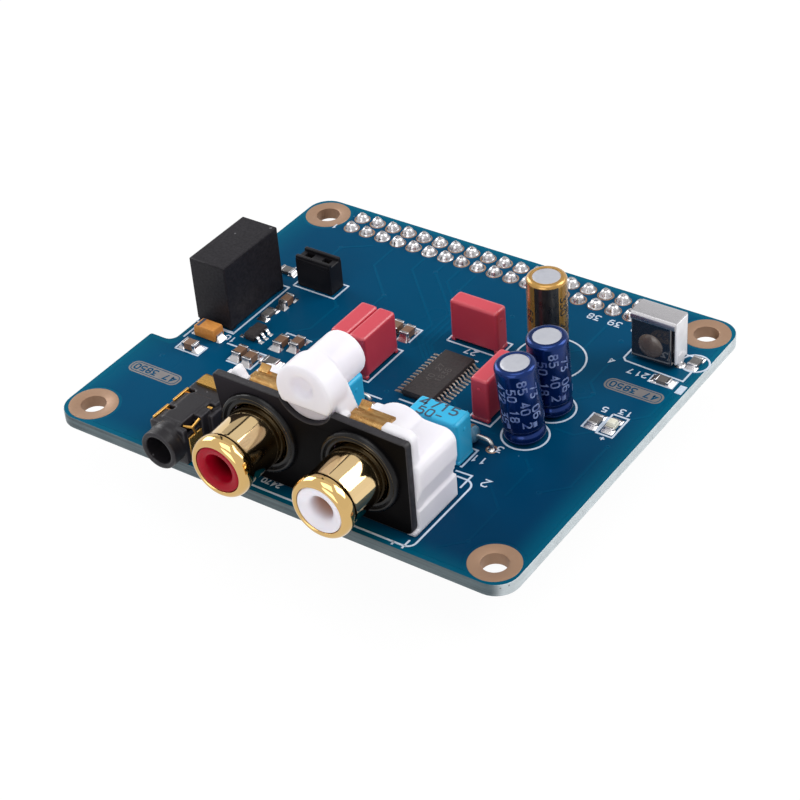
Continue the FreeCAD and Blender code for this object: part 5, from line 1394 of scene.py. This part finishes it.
def make_headphone_socket():
    jack = Form()
    jack.add(moulded(jack_field, (-16.3, -30.2, 0.0), (-10.5, -18.0, 5.05), 0.13))
    jack.place("headphone_body", "jack_black", ["headphone charcoal"], ["headphone_housing"], SHARP_MOULDED)
    for node, y0, y1 in (("headphone_sleeve_blade", -27.5, -24.7), ("headphone_ring_blade", -23.8, -21.0)):
        blade = Form()
        blade.add(block((-16.25, y0, 0.0), (-15.92, y1, 5.02), 0.09, 2))
        blade.add(block((-16.2, y1 - 0.55, 4.0), (-15.2, y1 - 0.2, 4.55), 0.1, 2))
        middle = (y0 + y1) / 2
        blade.add(block((-16.25, middle - 0.6, LEAD_END), (-15.9, middle + 0.6, 0.2), 0.08, 1))
        blade.place(node + "_strip", "gold_contact", ["gold contact"], [node], SHARP_ROUND)
    bracket = Form()
    bracket.add(block((-11.5, -27.2, 0.0), (-11.2, -24.8, 3.3), 0.1, 2))
    for start, end in (
        ((-12.15, -26.9, 4.62), (-11.35, -26.2, 4.3)),
        ((-11.25, -24.95, 4.75), (-11.35, -26.3, 4.3)),
        ((-11.35, -26.25, 4.35), (-11.3, -25.7, 3.0)),
    ):
        bracket.add(tube([start, Vector(start).lerp(Vector(end), 0.5), end], 0.17, 8))
    bracket.add(block((-12.0, -22.75, 4.5), (-11.3, -22.3, 4.72), 0.1, 2))
    bracket.add(block((-11.5, -26.6, LEAD_END), (-11.15, -25.4, 0.2), 0.08, 1))
    bracket.place("headphone_bracket", "gold_contact", ["gold contact"], ["headphone_tip_bracket"], SHARP_ROUND)
    leaf = Form()
    path = [(-19.9, 5.06), (-18.4, 5.08), (-18.0, 5.02), (-17.82, 4.8), (-17.79, 4.2), (-17.79, 0.1)]
    leaf.add(band(path, 4.0, 0.33), 0, side_on(JACK_X))
    leaf.add(block((JACK_X - 0.17, -17.97, LEAD_END), (JACK_X + 0.18, -17.62, 0.2), 0.06, 1))
    leaf.place("headphone_leaf", "gold_contact", ["gold contact"], ["headphone_switch_leaf"], SHARP_ROUND)


# Converter block and socket strip

def make_block():
    low, high = cad("converter_block_case")
    case = Form()
    case.add(block((low.x - 0.15, low.y, 0.25), (high.x, high.y, high.z + 0.25), 0.14, 2))
    for x in (low.x + 0.35, high.x - 0.35):
        for y in (low.y + 0.5, high.y - 0.5):
            case.add(block((x - 0.33, y - 0.45, 0.0), (x + 0.33, y + 0.45, 0.5), 0.1, 2))
    case.place("converter_case", "block_black", ["block black"], ["converter_block_case"])
    dress("converter_block_potting", "potting resin")
    dress("converter_block_pins", "tinned lead")


def make_socket_strip():
    low, high = cad("socket_strip_housing")
    middle = (low + high) / 2
    strip_body = Form()
    shape = socket_body(
        2, 1, PITCH + 0.2, high.y - low.y, high.z - 0.4, 0.15, opening=1.2, slot=0.95, slot_floor=1.2, edge=0.1)
    strip_body.add(shape, 0, shift(middle.x, middle.y, 0))
    for y in (low.y + 0.27, high.y - 0.27):
        strip_body.add(block((low.x, y - 0.27, high.z - 0.7), (high.x, y + 0.27, high.z), 0.14, 2))
    for x in (low.x + 0.5, middle.x, high.x - 0.5):
        strip_body.add(block((x - 0.3, low.y - 0.02, 0.0), (x + 0.3, high.y + 0.02, 0.4), 0.08, 1))
    for side in (low.y, high.y):
        strip_body.add(block((low.x + 0.25, side - 0.06, 3.7), (high.x - 0.25, side + 0.06, 4.3), 0.05, 1))
    strip_body.place("strip_body", "header_black", ["socket black"], ["socket_strip_housing"])
    dress("socket_strip_contacts", "gold contact")


# Receiver and status light

SHIELD_SHEET = 0.28


def make_receiver():
    low, high = cad("receiver_shield")
    x0, x1, y0, y1 = low.x - 0.55, high.x, low.y, high.y
    middle_x, middle_y = (x0 + x1) / 2, (y0 + y1) / 2
    shield = Form()
    top = [(y0 + 0.02, 6.05), (y0 + 0.04, 6.55), (y0 + 0.16, 6.78), (y0 + 0.4, 6.86), (y1 - 0.4, 6.86),
           (y1 - 0.2, 6.8), (y1 - 0.13, 6.6), (y1 - 0.13, 0.6)]
    shield.add(band(top, x1 - x0 - 0.1, SHIELD_SHEET), 0, side_on(middle_x))
    half_tab = ((0.78, 1.9), (0.8, 1.0), (0.62, 0.42), (0.3, -0.1), (0.26, -2.5))
    tab = [(middle_y - a, z) for a, z in half_tab] + [(middle_y + a, z) for a, z in half_tab[::-1]]
    for side, x in ((-1, x0), (1, x1)):
        a, b = sorted((x, x - side * SHIELD_SHEET))
        shield.add(block((a, y0 + 0.32, 0.75), (b, y1 - 0.05, 6.72), 0.1, 2), 1)
        upright_x = Matrix(((0, 0, 1, a + side * 0.04), (1, 0, 0, 0), (0, 1, 0, 0), (0, 0, 0, 1)))
        shield.add(prism(tab, 0.0, SHIELD_SHEET), 1, upright_x)
    shield.place("receiver_cover", "shield_tin", ["shield tin", "dull tin"], ["receiver_shield"], SHARP_ROUND)
    body = Form()
    body.add(block((x0 + 0.08, y0 + 0.02, 0.4), (x1 - 0.62, y1 - 0.34, 6.68), 0.22, 3))
    body.add(block((x0 + 0.3, y0 + 0.9, 0.5), (x1 - 0.3, y1 - 0.3, 6.6), 0.1, 1))
    arc = [k * math.pi / 20 for k in range(1, 10)]
    lens = [(0.0, -0.5), (1.75, -0.5)] + [(1.75 * math.cos(a), -0.25 + 0.75 * math.sin(a)) for a in arc] + [(0.0, 0.5)]
    body.add(turned(lens, 56), 1, forward(middle_x - 0.3, 2.7, y0))
    body.place("receiver_lens", "epoxy_dark", ["dark epoxy", "smoked lens"], ["receiver_body"])
    dress("receiver_leads", "tinned lead")
    feet = Form()
    for x, y in RECEIVER_PINS[3:]:
        feet.add(solder_cone(0.75, 0.6), 0, shift(x, y, 0))
    feet.place("receiver_feet", "solder", ["bright solder"])


def make_status_light():
    x, y, along = LED
    lamp = Form()
    lamp.add(laid(x, y, along, 1.3, 1.25, 0.03, 0.45, 0.05, 1))
    rounds = ((0.56, 0.43, 0.1), (0.54, 0.7, 0.12), (0.46, 0.86, 0.16), (0.3, 0.92, 0.2))
    lamp.add(stacked([stack_level(x, y, half, half, z, radius) for half, z, radius in rounds]))
    lamp.place("status_light", "led_clear", ["clear lens"], ["status_led"])


# Film boxes

NUB_PROFILE = ((0, -0.1), (0.3, -0.1), (0.28, 0.03), (0.16, 0.07), (0, 0.08))
FILM_MARKS = (("4715", -0.25, 0.62, 1.35, 0.25), ("50-", -0.6, -0.95, 1.2, 0.22))


def straight_leads(places, top, radius):
    """Wires that go down through the board."""
    leads = Form()
    for x, y in places:
        leads.add(tube([(x, y, top), (x, y, -2.0), (x, y, LEAD_END)], radius))
    return leads


def make_film(shade, number):
    """Film box on two feet, with a moulding nub at each end; the blue ones are printed."""
    node = f"film_capacitor_{shade}_{number}"
    low, high = cad(node)
    middle, span = (low + high) / 2, high - low
    along = "X" if span.x > span.y else "Y"
    half, thin = max(span.x, span.y) / 2, min(span.x, span.y)
    film, finishes = Form(), [shade + " film box"]
    film.add(block((low.x, low.y, 0.3), tuple(high), looks("dac_parts").film_edge / MM, 3, 0.03))
    for side in (-1, 1):
        end = Vector((side, 0) if along == "X" else (0, side))
        foot, face = middle.xy + end * (half - 0.32), middle.xy + end * (half - 0.01)
        film.add(laid(*foot, along, 0.6, thin - 0.12, 0.0, 0.5, 0.08, 1))
        out = turn(side * 90, "Y") if along == "X" else turn(-side * 90, "X")
        film.add(turned(NUB_PROFILE, 16), 0, shift(*face, high.z - 1.5) @ out)
    if shade == "blue":
        finishes.append("dark print")
        for text, x, y, height, line in FILM_MARKS:
            top = on_plane(shift(middle.x + x, middle.y + y, high.z))
            film.write(text, height, line, -0.02, 0.014, top, 1)
        film.add(block((high.x - 0.52, low.y + 0.15, high.z - 0.2),
                       (high.x - 0.42, high.y - 0.15, high.z + 0.012), 0.01, 1))
    film.place(f"film_box_{shade}_{number}", "film_" + shade, finishes, [node])


def make_films():
    for shade, count in (("red", 4), ("blue", 2)):
        for number in range(1, count + 1):
            make_film(shade, number)
    leads = straight_leads(FILM_LEADS, 0.6, 0.3)
    leads.place("film_leads", "tinned", ["tinned lead"], ["film_capacitor_leads"], SHARP_ROUND)


# Electrolytics

def can_matrix(x, y, lean, heading):
    """Place of a can that leans towards a heading."""
    direction = math.radians(heading)
    hinge = Vector((-math.sin(direction), math.cos(direction), 0))
    return shift(x, y, 0.35) @ Matrix.Rotation(math.radians(lean), 4, hinge)


CAN_RADIUS = 2.52
CAN_FOOT = (
    (0.0, 0.0), (2.1, 0.0), (2.36, 0.06), (2.5, 0.2), (2.52, 0.5), (2.5, 0.85), (2.42, 1.08), (2.3, 1.26),
    (2.27, 1.4), (2.3, 1.54), (2.42, 1.72), (2.5, 1.95), (2.52, 2.3), (2.52, 5.0),
)
CAN_END = ((0.0, -0.3), (1.74, -0.3), (1.735, -0.12), (1.66, -0.08), (1.2, -0.06), (0.0, -0.055))
GOLD_MARKS = (
    ("330 25", 352.0), ("1047 5", 14.0), ("330 25", 172.0), ("1047 5", 194.0), ("68", 246.0), ("68", 66.0),
)
BLUE_MARKS = (
    ("472 35", 252.0), ("50 18", 284.0), ("85 40 2", 316.0), ("73 06", 348.0), ("409 6", 50.0), ("3350 7", 95.0),
    ("88 10", 140.0), ("61 407", 195.0),
)


def upright(lay):
    """Turns a lay so that marks read down the can."""
    return lambda u, v, h: lay(v, -u, h)


def make_can(number, x, y, high, lean, heading):
    """Can in its printed sleeve; the last and tallest is gold."""
    move = can_matrix(x, y, lean, heading)
    curve = looks("dac_parts").can_shoulder / MM
    arc = [k * math.pi / 16 for k in range(9)]
    profile = list(CAN_FOOT)
    profile += [(CAN_RADIUS - curve + curve * math.cos(a), high - curve + curve * math.sin(a)) for a in arc]
    profile += [(1.86, high + 0.01), (1.76, high - 0.03), (1.72, high - 0.16), (0.0, high - 0.16)]
    can = Form()
    can.add(turned(profile, 72), 0, move)
    can.add(turned([(radius, high + h) for radius, h in CAN_END], 56), 1, move)

    def wrap(bearing, height):
        wrapped = on_sleeve(CAN_RADIUS, bearing, height)
        return lambda u, v, h: tuple(move @ Vector(wrapped(u, v, h)))

    def panel(bearing, width, z0, z1):
        run = [(-width / 2, (z0 + z1) / 2), (width / 2, (z0 + z1) / 2)]
        can.add(strip(run, z1 - z0, -0.03, 0.012, lay=wrap(bearing, 0.0), longest=0.15), 2)

    gold = number == len(CANS)
    if gold:
        for bearing in (300.0, 120.0):
            panel(bearing, 3.1, 1.95, high - 0.42)
        marks, tall, line, middle = GOLD_MARKS, 0.95, 0.16, 6.4
    else:
        for bearing in (262.0, 338.0, 30.0, 135.0):
            panel(bearing, 0.55, 2.4, 3.1)
        marks, tall, line, middle = BLUE_MARKS, 1.0, 0.19, 5.9
    for text, bearing in marks:
        can.write(text, tall, line, -0.03, 0.014, upright(wrap(bearing, middle)), 2)
    finishes = ["gold sleeve", "can end", "black print"] if gold else ["blue sleeve", "can end", "pale print"]
    slot = "sleeve_gold" if gold else "sleeve_blue"
    can.place(f"can_{number}", slot, finishes, [f"electrolytic_{number}"], SHARP_ROUND)


def make_cans():
    for number, row in enumerate(CANS, 1):
        make_can(number, *row)
    leads = straight_leads(CAN_LEADS, 0.5, 0.28)
    leads.place("can_leads", "tinned", ["tinned lead"], ["electrolytic_leads"], SHARP_ROUND)


# Chips

def gull_lead(form, x, y, side, reach, height, width):
    """One gull-wing lead with its solder and pad."""
    path = [(-0.25, height), (0.12, height), (0.24, height - 0.05), (0.34, height - 0.2), (0.44, 0.16),
            (0.54, 0.085), (reach, 0.075)]
    move = to_side(x, y, side)
    form.add(band(path, width, 0.13), 0, move)
    pad = [(0.3, reach + 0.42, 0.72, 0.0, 0.04), (0.34, reach + 0.38, 0.7, 0.045, 0.05)]
    fillet = [(reach - 0.12, reach + 0.3, 0.6, 0.03, 0.05), (reach - 0.08, reach + 0.12, 0.5, 0.12, 0.04)]
    for levels in (pad, fillet):
        form.add(stacked([(x0, x1, -width * w, width * w, z, radius) for x0, x1, w, z, radius in levels]), 0, move)


def package(x, y, width, length, low, high, draft):
    """Moulded package with sides that lean in from the parting line."""
    parting = (low + high) / 2
    levels = ((draft, low, 0.06), (0.0, parting - 0.03, 0.06), (0.0, parting + 0.03, 0.06),
              (draft, high - 0.04, 0.06), (draft + 0.04, high, 0.05), (draft + 0.16, high, 0.05))
    return stacked([stack_level(x, y, width / 2 - inset, length / 2 - inset, z, r) for inset, z, r in levels])


def make_converter():
    x, y = CONVERTER
    chip = Form()
    chip.add(package(x, y, 4.4, 9.7, 0.1, 1.0, 0.12))
    dimple = [(0.36, 1.0), (0.4, 1.012), (0.48, 1.012), (0.52, 1.0), (0.52, 0.9), (0.36, 0.9)]
    chip.add(turned(dimple, 28, True), 0, shift(4.15, -3.65, 0))
    for text, at in (("40 27", 4.75), ("1836", 5.95)):
        chip.write(text, 0.75, 0.12, 0.98, 1.008, on_plane(shift(at, 0.3, 0) @ turn(90, "Z")), 1)
    chip.place("converter_package", "chip_black", ["chip black", "chip mark"], ["converter_chip_body"])
    leads = Form()
    for i in range(14):
        for side in (-1, 1):
            gull_lead(leads, x + side * 2.2, y + (i - 6.5) * 0.65, side, 1.0, 0.55, 0.24)
    leads.place("converter_leads", "tinned", ["dull lead"], ["converter_chip_leads"], SHARP_ROUND)


def make_regulator():
    x, y = REGULATOR
    chip = Form()
    chip.add(package(x, y, 1.6, 2.9, 0.1, 1.1, 0.12))
    chip.place("regulator_package", "chip_black", ["chip black"], ["regulator_body"])
    leads = Form()
    for side, steps in ((-1, (-1, 1)), (1, (-1, 0, 1))):
        for step in steps:
            gull_lead(leads, x + side * 0.8, y + step * 0.95, side, 0.62, 0.6, 0.42)
    leads.place("regulator_pins", "tinned", ["bright solder"], ["regulator_leads"], SHARP_ROUND)


def make_tantalum():
    low, high = cad("tantalum_body")
    case = Form()
    case.add(stacked([
        (low.x + 0.04, high.x - 0.04, low.y + 0.05, high.y - 0.05, low.z, 0.1),
        (low.x, high.x, low.y, high.y, 0.5, 0.12),
        (low.x, high.x, low.y, high.y, 0.9, 0.12),
        (low.x + 0.1, high.x - 0.06, low.y + 0.06, high.y - 0.06, high.z - 0.12, 0.12),
        (low.x + 0.28, high.x - 0.14, low.y + 0.14, high.y - 0.14, high.z, 0.1),
    ]))
    stripe = [(low.x + 0.62, low.y + 0.18), (low.x + 0.62, high.y - 0.18)]
    case.add(strip(stripe, 0.4, high.z - 0.02, high.z + 0.012), 1)
    case.place("tantalum_case", "tantalum_amber", ["amber case", "dark print"], ["tantalum_body"])
    blob = ((-0.2, 0.75, 0.85, 0.0, 0.2), (-0.1, 0.55, 0.75, 0.14, 0.2), (0.0, 0.26, 0.62, 0.45, 0.12),
            (0.02, 0.16, 0.5, 0.62, 0.06))
    ends = Form()
    for side, x in ((-1, low.x), (1, high.x)):
        move = to_side(x, (low.y + high.y) / 2, side)
        ends.add(band([(-0.8, 0.06), (-0.02, 0.06), (0.07, 0.12), (0.07, 0.85)], 1.2, 0.12), 0, move)
        ends.add(stacked([(x0, x1, -half, half, z, radius) for x0, x1, half, z, radius in blob]), 0, move)
    ends.place("tantalum_ends", "tinned", ["bright solder"], ["tantalum_terminals"], SHARP_ROUND)


def chip_ends(form, x, y, along, height):
    """Tinned end caps of a chip part, with solder up their ends."""
    spin = turn(0 if along == "X" else 90, "Z")
    for side in (-1, 1):
        move = shift(x, y, 0) @ spin @ Matrix.Scale(side, 4, (1, 0, 0))
        form.add(block((0.6, -0.65, 0.0), (1.0, 0.65, height + 0.06), 0.09, 2), 0, move)
        form.add(stacked([(0.5, 1.62, -0.82, 0.82, 0.0, 0.16), (0.55, 1.5, -0.76, 0.76, 0.08 + 0.06 * height, 0.16),
                          (0.68, 1.2, -0.64, 0.64, 0.34 * height, 0.14), (0.72, 1.06, -0.55, 0.55, 0.66 * height, 0.1),
                          (0.74, 1.02, -0.45, 0.45, 0.82 * height, 0.08)]), 0, move)


def make_small_parts():
    for name, slot, finish, places, height, node in (
        ("ceramic_blocks", "ceramic_brown", "brown ceramic", CERAMICS, 1.0, "ceramic_capacitor_bodies"),
        ("resistor_blocks", "resistor_grey", "grey resistor", RESISTORS, 0.5, "chip_resistor_bodies"),
    ):
        bodies = Form()
        for x, y, along in places:
            bodies.add(laid(x, y, along, 1.5, 1.25, 0.03, 0.03 + height, 0.1, 2))
            if height < 0.8:
                a, b = (0.5, 0.45) if along == "X" else (0.45, 0.5)
                bodies.add(block((x - a, y - b, height - 0.02), (x + a, y + b, height + 0.05), 0.02, 1))
        bodies.place(name, slot, [finish], [node])
    ends = Form()
    for places, height in ((CERAMICS, 1.0), (RESISTORS, 0.5), ((LED,), 0.4)):
        for x, y, along in places:
            chip_ends(ends, x, y, along, height)
    ends.place("chip_ends", "tinned", ["bright solder"], ["chip_end_caps"], SHARP_ROUND)


# Axial resistors

AXIAL_PROFILE = (
    (0.0, -3.15), (0.5, -3.13), (0.85, -3.02), (1.08, -2.7), (1.15, -2.3), (1.13, -1.9), (1.0, -1.5), (0.97, -1.2),
    (0.97, 1.2), (1.0, 1.5), (1.13, 1.9), (1.15, 2.3), (1.08, 2.7), (0.85, 3.02), (0.5, 3.13), (0.0, 3.15),
)
AXIAL_BEND = (
    (3.0, 1.3), (4.3, 1.3), (4.7, 1.24), (4.95, 1.06), (5.06, 0.8), (AXIAL_REACH, 0.4), (AXIAL_REACH, -1.6),
    (AXIAL_REACH, LEAD_END),
)


def make_axial():
    leads = Form()
    for i, x in enumerate(AXIAL_MIDDLES, 1):
        body = Form()
        move = shift(x, AXIAL_Y, 1.3) @ turn(90, "Y")
        body.add(turned(AXIAL_PROFILE, 32), 0, move)
        for k, at in enumerate((-2.3, -1.0, -0.4, 0.2, 2.3)):
            radius = 1.16 if abs(at) > 2 else 0.98
            ring = [(radius - 0.1, at - 0.2), (radius, at - 0.2), (radius + 0.005, at), (radius, at + 0.2),
                    (radius - 0.1, at + 0.2)]
            body.add(turned(ring, 32, True), 1 + k % 2, move)
        body.place(f"axial_body_{i}", "axial_blue", ["blue lacquered body", "brown ceramic", "black print"],
                   [f"axial_resistor_body_{i}"])
        for side in (-1, 1):
            foot = shift(x + side * AXIAL_REACH, AXIAL_Y, 0)
            leads.add(tube([(x + side * a, AXIAL_Y, z) for a, z in AXIAL_BEND], 0.28))
            leads.add(turned([(0.3, 0.0), (0.34, 0.05), (0.72, 0.055), (0.78, 0.0)], 28, True), 1, foot)
            leads.add(solder_cone(0.62, 0.35), 0, foot)
    leads.place("axial_wires", "tinned", ["tinned lead", "plated pad"], ["axial_resistor_leads"], SHARP_ROUND)


def make_underside():
    """Solder fillets where leads come through the board."""
    joints = Form()
    spread = random.Random(11)
    for x, y in FILM_LEADS + CAN_LEADS + AXIAL_LEADS + BLOCK_PINS + STRIP_PINS + RECEIVER_PINS:
        cone = solder_cone(0.8 * spread.uniform(0.92, 1.04), 0.85 * spread.uniform(0.9, 1.05))
        joints.add(cone, 0, below(x, y))
        joints.add(plated_ring(0.4, 1.05), 1, below(x, y))
    for x, y in JACK_FEET + PHONO_FEET:
        joints.add(solder_cone(1.15, 0.9), 0, below(x, y))
        joints.add(plated_ring(0.6, 1.4, 32), 1, below(x, y))
    joints.place("underside_joints", "solder", ["bright solder", "plated pad"])


# Studio

CAMERA_AZIMUTH = 37.252
CAMERA_ELEVATION = 37.05
CAMERA_ROLL = -4.76
CAMERA_DISTANCE = 256.445
CAMERA_OFFSET = (-0.235, -3.858)
CAMERA_FOCAL = 2084.813
HALF_IMAGE = 400
SOFTBOX_WIDTH = 0.5
FLOOR_REACH = 3.0
FLOOR_GAP = 0.0002
PAPER_SHADE = 0.86
GLOW_SHARE = 0.93
GLOW = 1.03
PANEL_DISTANCE = 0.6
PANEL_TOP = 1.7


def aim_camera():
    a, e, r = (math.radians(v) for v in (CAMERA_AZIMUTH, CAMERA_ELEVATION, CAMERA_ROLL))
    back = Vector((math.sin(a) * math.cos(e), -math.cos(a) * math.cos(e), math.sin(e)))
    right = Vector((math.cos(a), math.sin(a), 0))
    up = back.cross(right)
    across = right * math.cos(r) + up * math.sin(r)
    upward = up * math.cos(r) - right * math.sin(r)
    where = (back * CAMERA_DISTANCE + across * CAMERA_OFFSET[0] + upward * CAMERA_OFFSET[1]) * MM
    lens = bpy.data.cameras.new("photograph view")
    lens.sensor_fit = "HORIZONTAL"
    lens.angle = 2 * math.atan(HALF_IMAGE / CAMERA_FOCAL)
    lens.clip_start, lens.clip_end = 0.005, 20.0
    camera = new_object("photograph view", lens)
    axes = Matrix((across, upward, back)).transposed().to_4x4()
    camera.matrix_world = Matrix.Translation(where) @ axes
    bpy.context.scene.camera = camera


def softbox(name, place, strength):
    """Square softbox that looks at the board."""
    light = bpy.data.lights.new(name, "AREA")
    light.shape = "SQUARE"
    light.size = SOFTBOX_WIDTH
    light.energy = strength
    lamp = new_object(name, light)
    lamp.location = place
    lamp.rotation_euler = Vector(place).to_track_quat("Z", "Y").to_euler()
    lamp.visible_camera = False


def seen_white(tree):
    """Mask of the rays that see the backdrop: from the camera, reflections and clear parts."""
    path = add_node(tree, "LightPath").outputs
    seen = path["Is Camera Ray"]
    for kind in ("Is Glossy Ray", "Is Transmission Ray"):
        seen = add_node(tree, "Math", {0: seen, 1: path[kind]}, operation="MAXIMUM").outputs[0]
    return seen


def make_world(settings):
    world = bpy.data.worlds.new("studio surroundings")
    bpy.context.scene.world = world
    world.use_nodes = True
    tree = world.node_tree
    ground = tree.nodes["Background"].inputs
    ground["Color"].default_value = (*settings.backdrop, 1.0)
    light = add_node(tree, "MapRange", {"Value": seen_white(tree), "To Min": settings.ambient, "To Max": 1.0})
    tree.links.new(light.outputs["Result"], ground["Strength"])


def sheet(name, material, corners):
    """Flat four-cornered sheet of the stage, with the nodes of its material."""
    mesh = bpy.data.meshes.new(name)
    mesh.from_pydata(corners, [], [(0, 1, 2, 3)])
    cloth = bpy.data.materials.new(material)
    cloth.use_nodes = True
    mesh.materials.append(cloth)
    return new_object(name, mesh), cloth.node_tree


def make_floor(settings):
    reach, height = FLOOR_REACH, CAD_BOX[0].z - FLOOR_GAP
    floor, tree = sheet("studio_floor", "white paper", [
        (-reach, -reach, height), (reach, -reach, height), (reach, reach, height), (-reach, reach, height)])
    white = (*settings.backdrop, 1.0)
    paper = tree.nodes["Principled BSDF"]
    shade = (*darker(settings.backdrop, PAPER_SHADE), 1.0)
    set_values(paper.inputs, base_color=shade, roughness=0.8, specular_ior_level=0.1)
    glow = add_node(tree, "Emission", {"Color": white, "Strength": GLOW})
    share = add_node(tree, "MapRange", {"Value": seen_white(tree), "To Max": GLOW_SHARE})
    seen = add_node(tree, "MixShader", {
        "Fac": share.outputs["Result"], 1: paper.outputs["BSDF"], 2: glow.outputs["Emission"]})
    sides = add_node(tree, "MixShader", {
        "Fac": add_node(tree, "NewGeometry").outputs["Backfacing"],
        1: seen.outputs["Shader"], 2: add_node(tree, "BsdfTransparent").outputs["BSDF"]})
    tree.links.new(sides.outputs["Shader"], tree.nodes["Material Output"].inputs["Surface"])


def reflector(name, x0, x1, z0, strength):
    """Panel behind the board that only reflections see; its sides are shares of its distance."""
    corners = ((x0, 1.0, z0), (x1, 1.0, z0), (x1, 1.0, PANEL_TOP), (x0, 1.0, PANEL_TOP))
    panel, tree = sheet(name, name, [[c * PANEL_DISTANCE for c in corner] for corner in corners])
    set_values(
        tree.nodes["Principled BSDF"].inputs, base_color=(0.0, 0.0, 0.0, 1.0), specular_ior_level=0.0,
        emission_color=(1.0, 1.0, 1.0, 1.0), emission_strength=strength)
    for ray in ("camera", "diffuse", "shadow", "transmission"):
        setattr(panel, "visible_" + ray, False)


def make_stage():
    settings = looks("dac_studio")
    aim_camera()
    make_world(settings)
    make_floor(settings)
    softbox("right softbox", (0.42, 0.46, 0.5), settings.key)
    softbox("left softbox", (-0.78, 0.16, 0.44), settings.fill)
    softbox("overhead light", (0.05, -0.12, 0.75), settings.top)
    softbox("front fill", (0.1, -0.7, 0.3), settings.front)
    reflector("grey_panel", -0.64, 0.33, 0.55, 0.85)
    reflector("left_seam", -0.82, -0.64, 0.55, 0.05)
    reflector("right_seam", 0.33, 0.47, 0.55, 0.06)
    reflector("left_panel", -1.5, -0.82, 0.72, 0.6)
    bpy.context.scene.view_settings.view_transform = "Standard"


# Operators

class DAC_OT_board(bpy.types.Operator):
    """Board with its lacquer, tracks, pads and print"""
    bl_idname = "dac.board"
    bl_label = "Board"

    def execute(self, context):
        make_board()
        make_print()
        return {"FINISHED"}


class DAC_OT_header(bpy.types.Operator):
    """Header socket under the rear edge and its solder joints"""
    bl_idname = "dac.header"
    bl_label = "Header"

    def execute(self, context):
        make_header()
        return {"FINISHED"}


class DAC_OT_phono_housing(bpy.types.Operator):
    """White housing and black front plate of the phono pair"""
    bl_idname = "dac.phono_housing"
    bl_label = "Phono housing"

    def execute(self, context):
        make_phono_housing()
        return {"FINISHED"}


class DAC_OT_phono_sockets(bpy.types.Operator):
    """Gold barrels, inserts and brass straps of the phono pair"""
    bl_idname = "dac.phono_sockets"
    bl_label = "Phono sockets"

    def execute(self, context):
        make_phono_sockets()
        return {"FINISHED"}


class DAC_OT_headphone(bpy.types.Operator):
    """Headphone socket with its gold contacts"""
    bl_idname = "dac.headphone"
    bl_label = "Headphone socket"

    def execute(self, context):
        make_headphone_socket()
        return {"FINISHED"}


class DAC_OT_block(bpy.types.Operator):
    """Converter block and the two-way socket strip"""
    bl_idname = "dac.block"
    bl_label = "Block and strip"

    def execute(self, context):
        make_block()
        make_socket_strip()
        return {"FINISHED"}


class DAC_OT_receiver(bpy.types.Operator):
    """Infrared receiver and status light"""
    bl_idname = "dac.receiver"
    bl_label = "Receiver"

    def execute(self, context):
        make_receiver()
        make_status_light()
        return {"FINISHED"}


class DAC_OT_films(bpy.types.Operator):
    """Red and light blue film boxes"""
    bl_idname = "dac.films"
    bl_label = "Film boxes"

    def execute(self, context):
        make_films()
        return {"FINISHED"}


class DAC_OT_cans(bpy.types.Operator):
    """Sleeved electrolytic cans"""
    bl_idname = "dac.cans"
    bl_label = "Cans"

    def execute(self, context):
        make_cans()
        return {"FINISHED"}


class DAC_OT_chips(bpy.types.Operator):
    """Converter chip, regulator and tantalum capacitor"""
    bl_idname = "dac.chips"
    bl_label = "Chips"

    def execute(self, context):
        make_converter()
        make_regulator()
        make_tantalum()
        return {"FINISHED"}


class DAC_OT_small_parts(bpy.types.Operator):
    """Ceramic capacitors, chip resistors and axial resistors"""
    bl_idname = "dac.small_parts"
    bl_label = "Small parts"

    def execute(self, context):
        make_small_parts()
        make_axial()
        make_underside()
        return {"FINISHED"}


class DAC_OT_stage(bpy.types.Operator):
    """White floor, soft studio light and the photograph's camera"""
    bl_idname = "dac.stage"
    bl_label = "Stage"

    def execute(self, context):
        make_stage()
        return {"FINISHED"}


STEPS = (
    DAC_OT_board, DAC_OT_header, DAC_OT_phono_housing, DAC_OT_phono_sockets, DAC_OT_headphone, DAC_OT_block,
    DAC_OT_receiver, DAC_OT_films, DAC_OT_cans, DAC_OT_chips, DAC_OT_small_parts, DAC_OT_stage,
)
GROUPS = (
    ("dac_board", BoardLooks), ("dac_sockets", SocketLooks), ("dac_parts", PartLooks), ("dac_studio", StudioLooks),
)


class DAC_PT_panel(bpy.types.Panel):
    """Sidebar panel of the converter board"""
    bl_label = "Converter board"
    bl_space_type = "VIEW_3D"
    bl_region_type = "UI"
    bl_category = "Converter board"

    def draw(self, context):
        for name, kind in GROUPS:
            box = self.layout.box()
            for prop in kind.__annotations__:
                box.prop(getattr(context.scene, name), prop)
        for step in STEPS:
            self.layout.operator(step.bl_idname)


def register():
    for kind in [k for _, k in GROUPS] + list(STEPS) + [DAC_PT_panel]:
        bpy.utils.register_class(kind)
    for name, kind in GROUPS:
        setattr(bpy.types.Scene, name, PointerProperty(type=kind))


def unregister():
    for name, _ in GROUPS:
        delattr(bpy.types.Scene, name)
    for kind in [DAC_PT_panel] + list(STEPS)[::-1] + [k for _, k in GROUPS]:
        bpy.utils.unregister_class(kind)


def main():
    register()
    for step in STEPS:
        family, name = step.bl_idname.split(".")
        getattr(getattr(bpy.ops, family), name)()


if __name__ == "__main__":
    main()
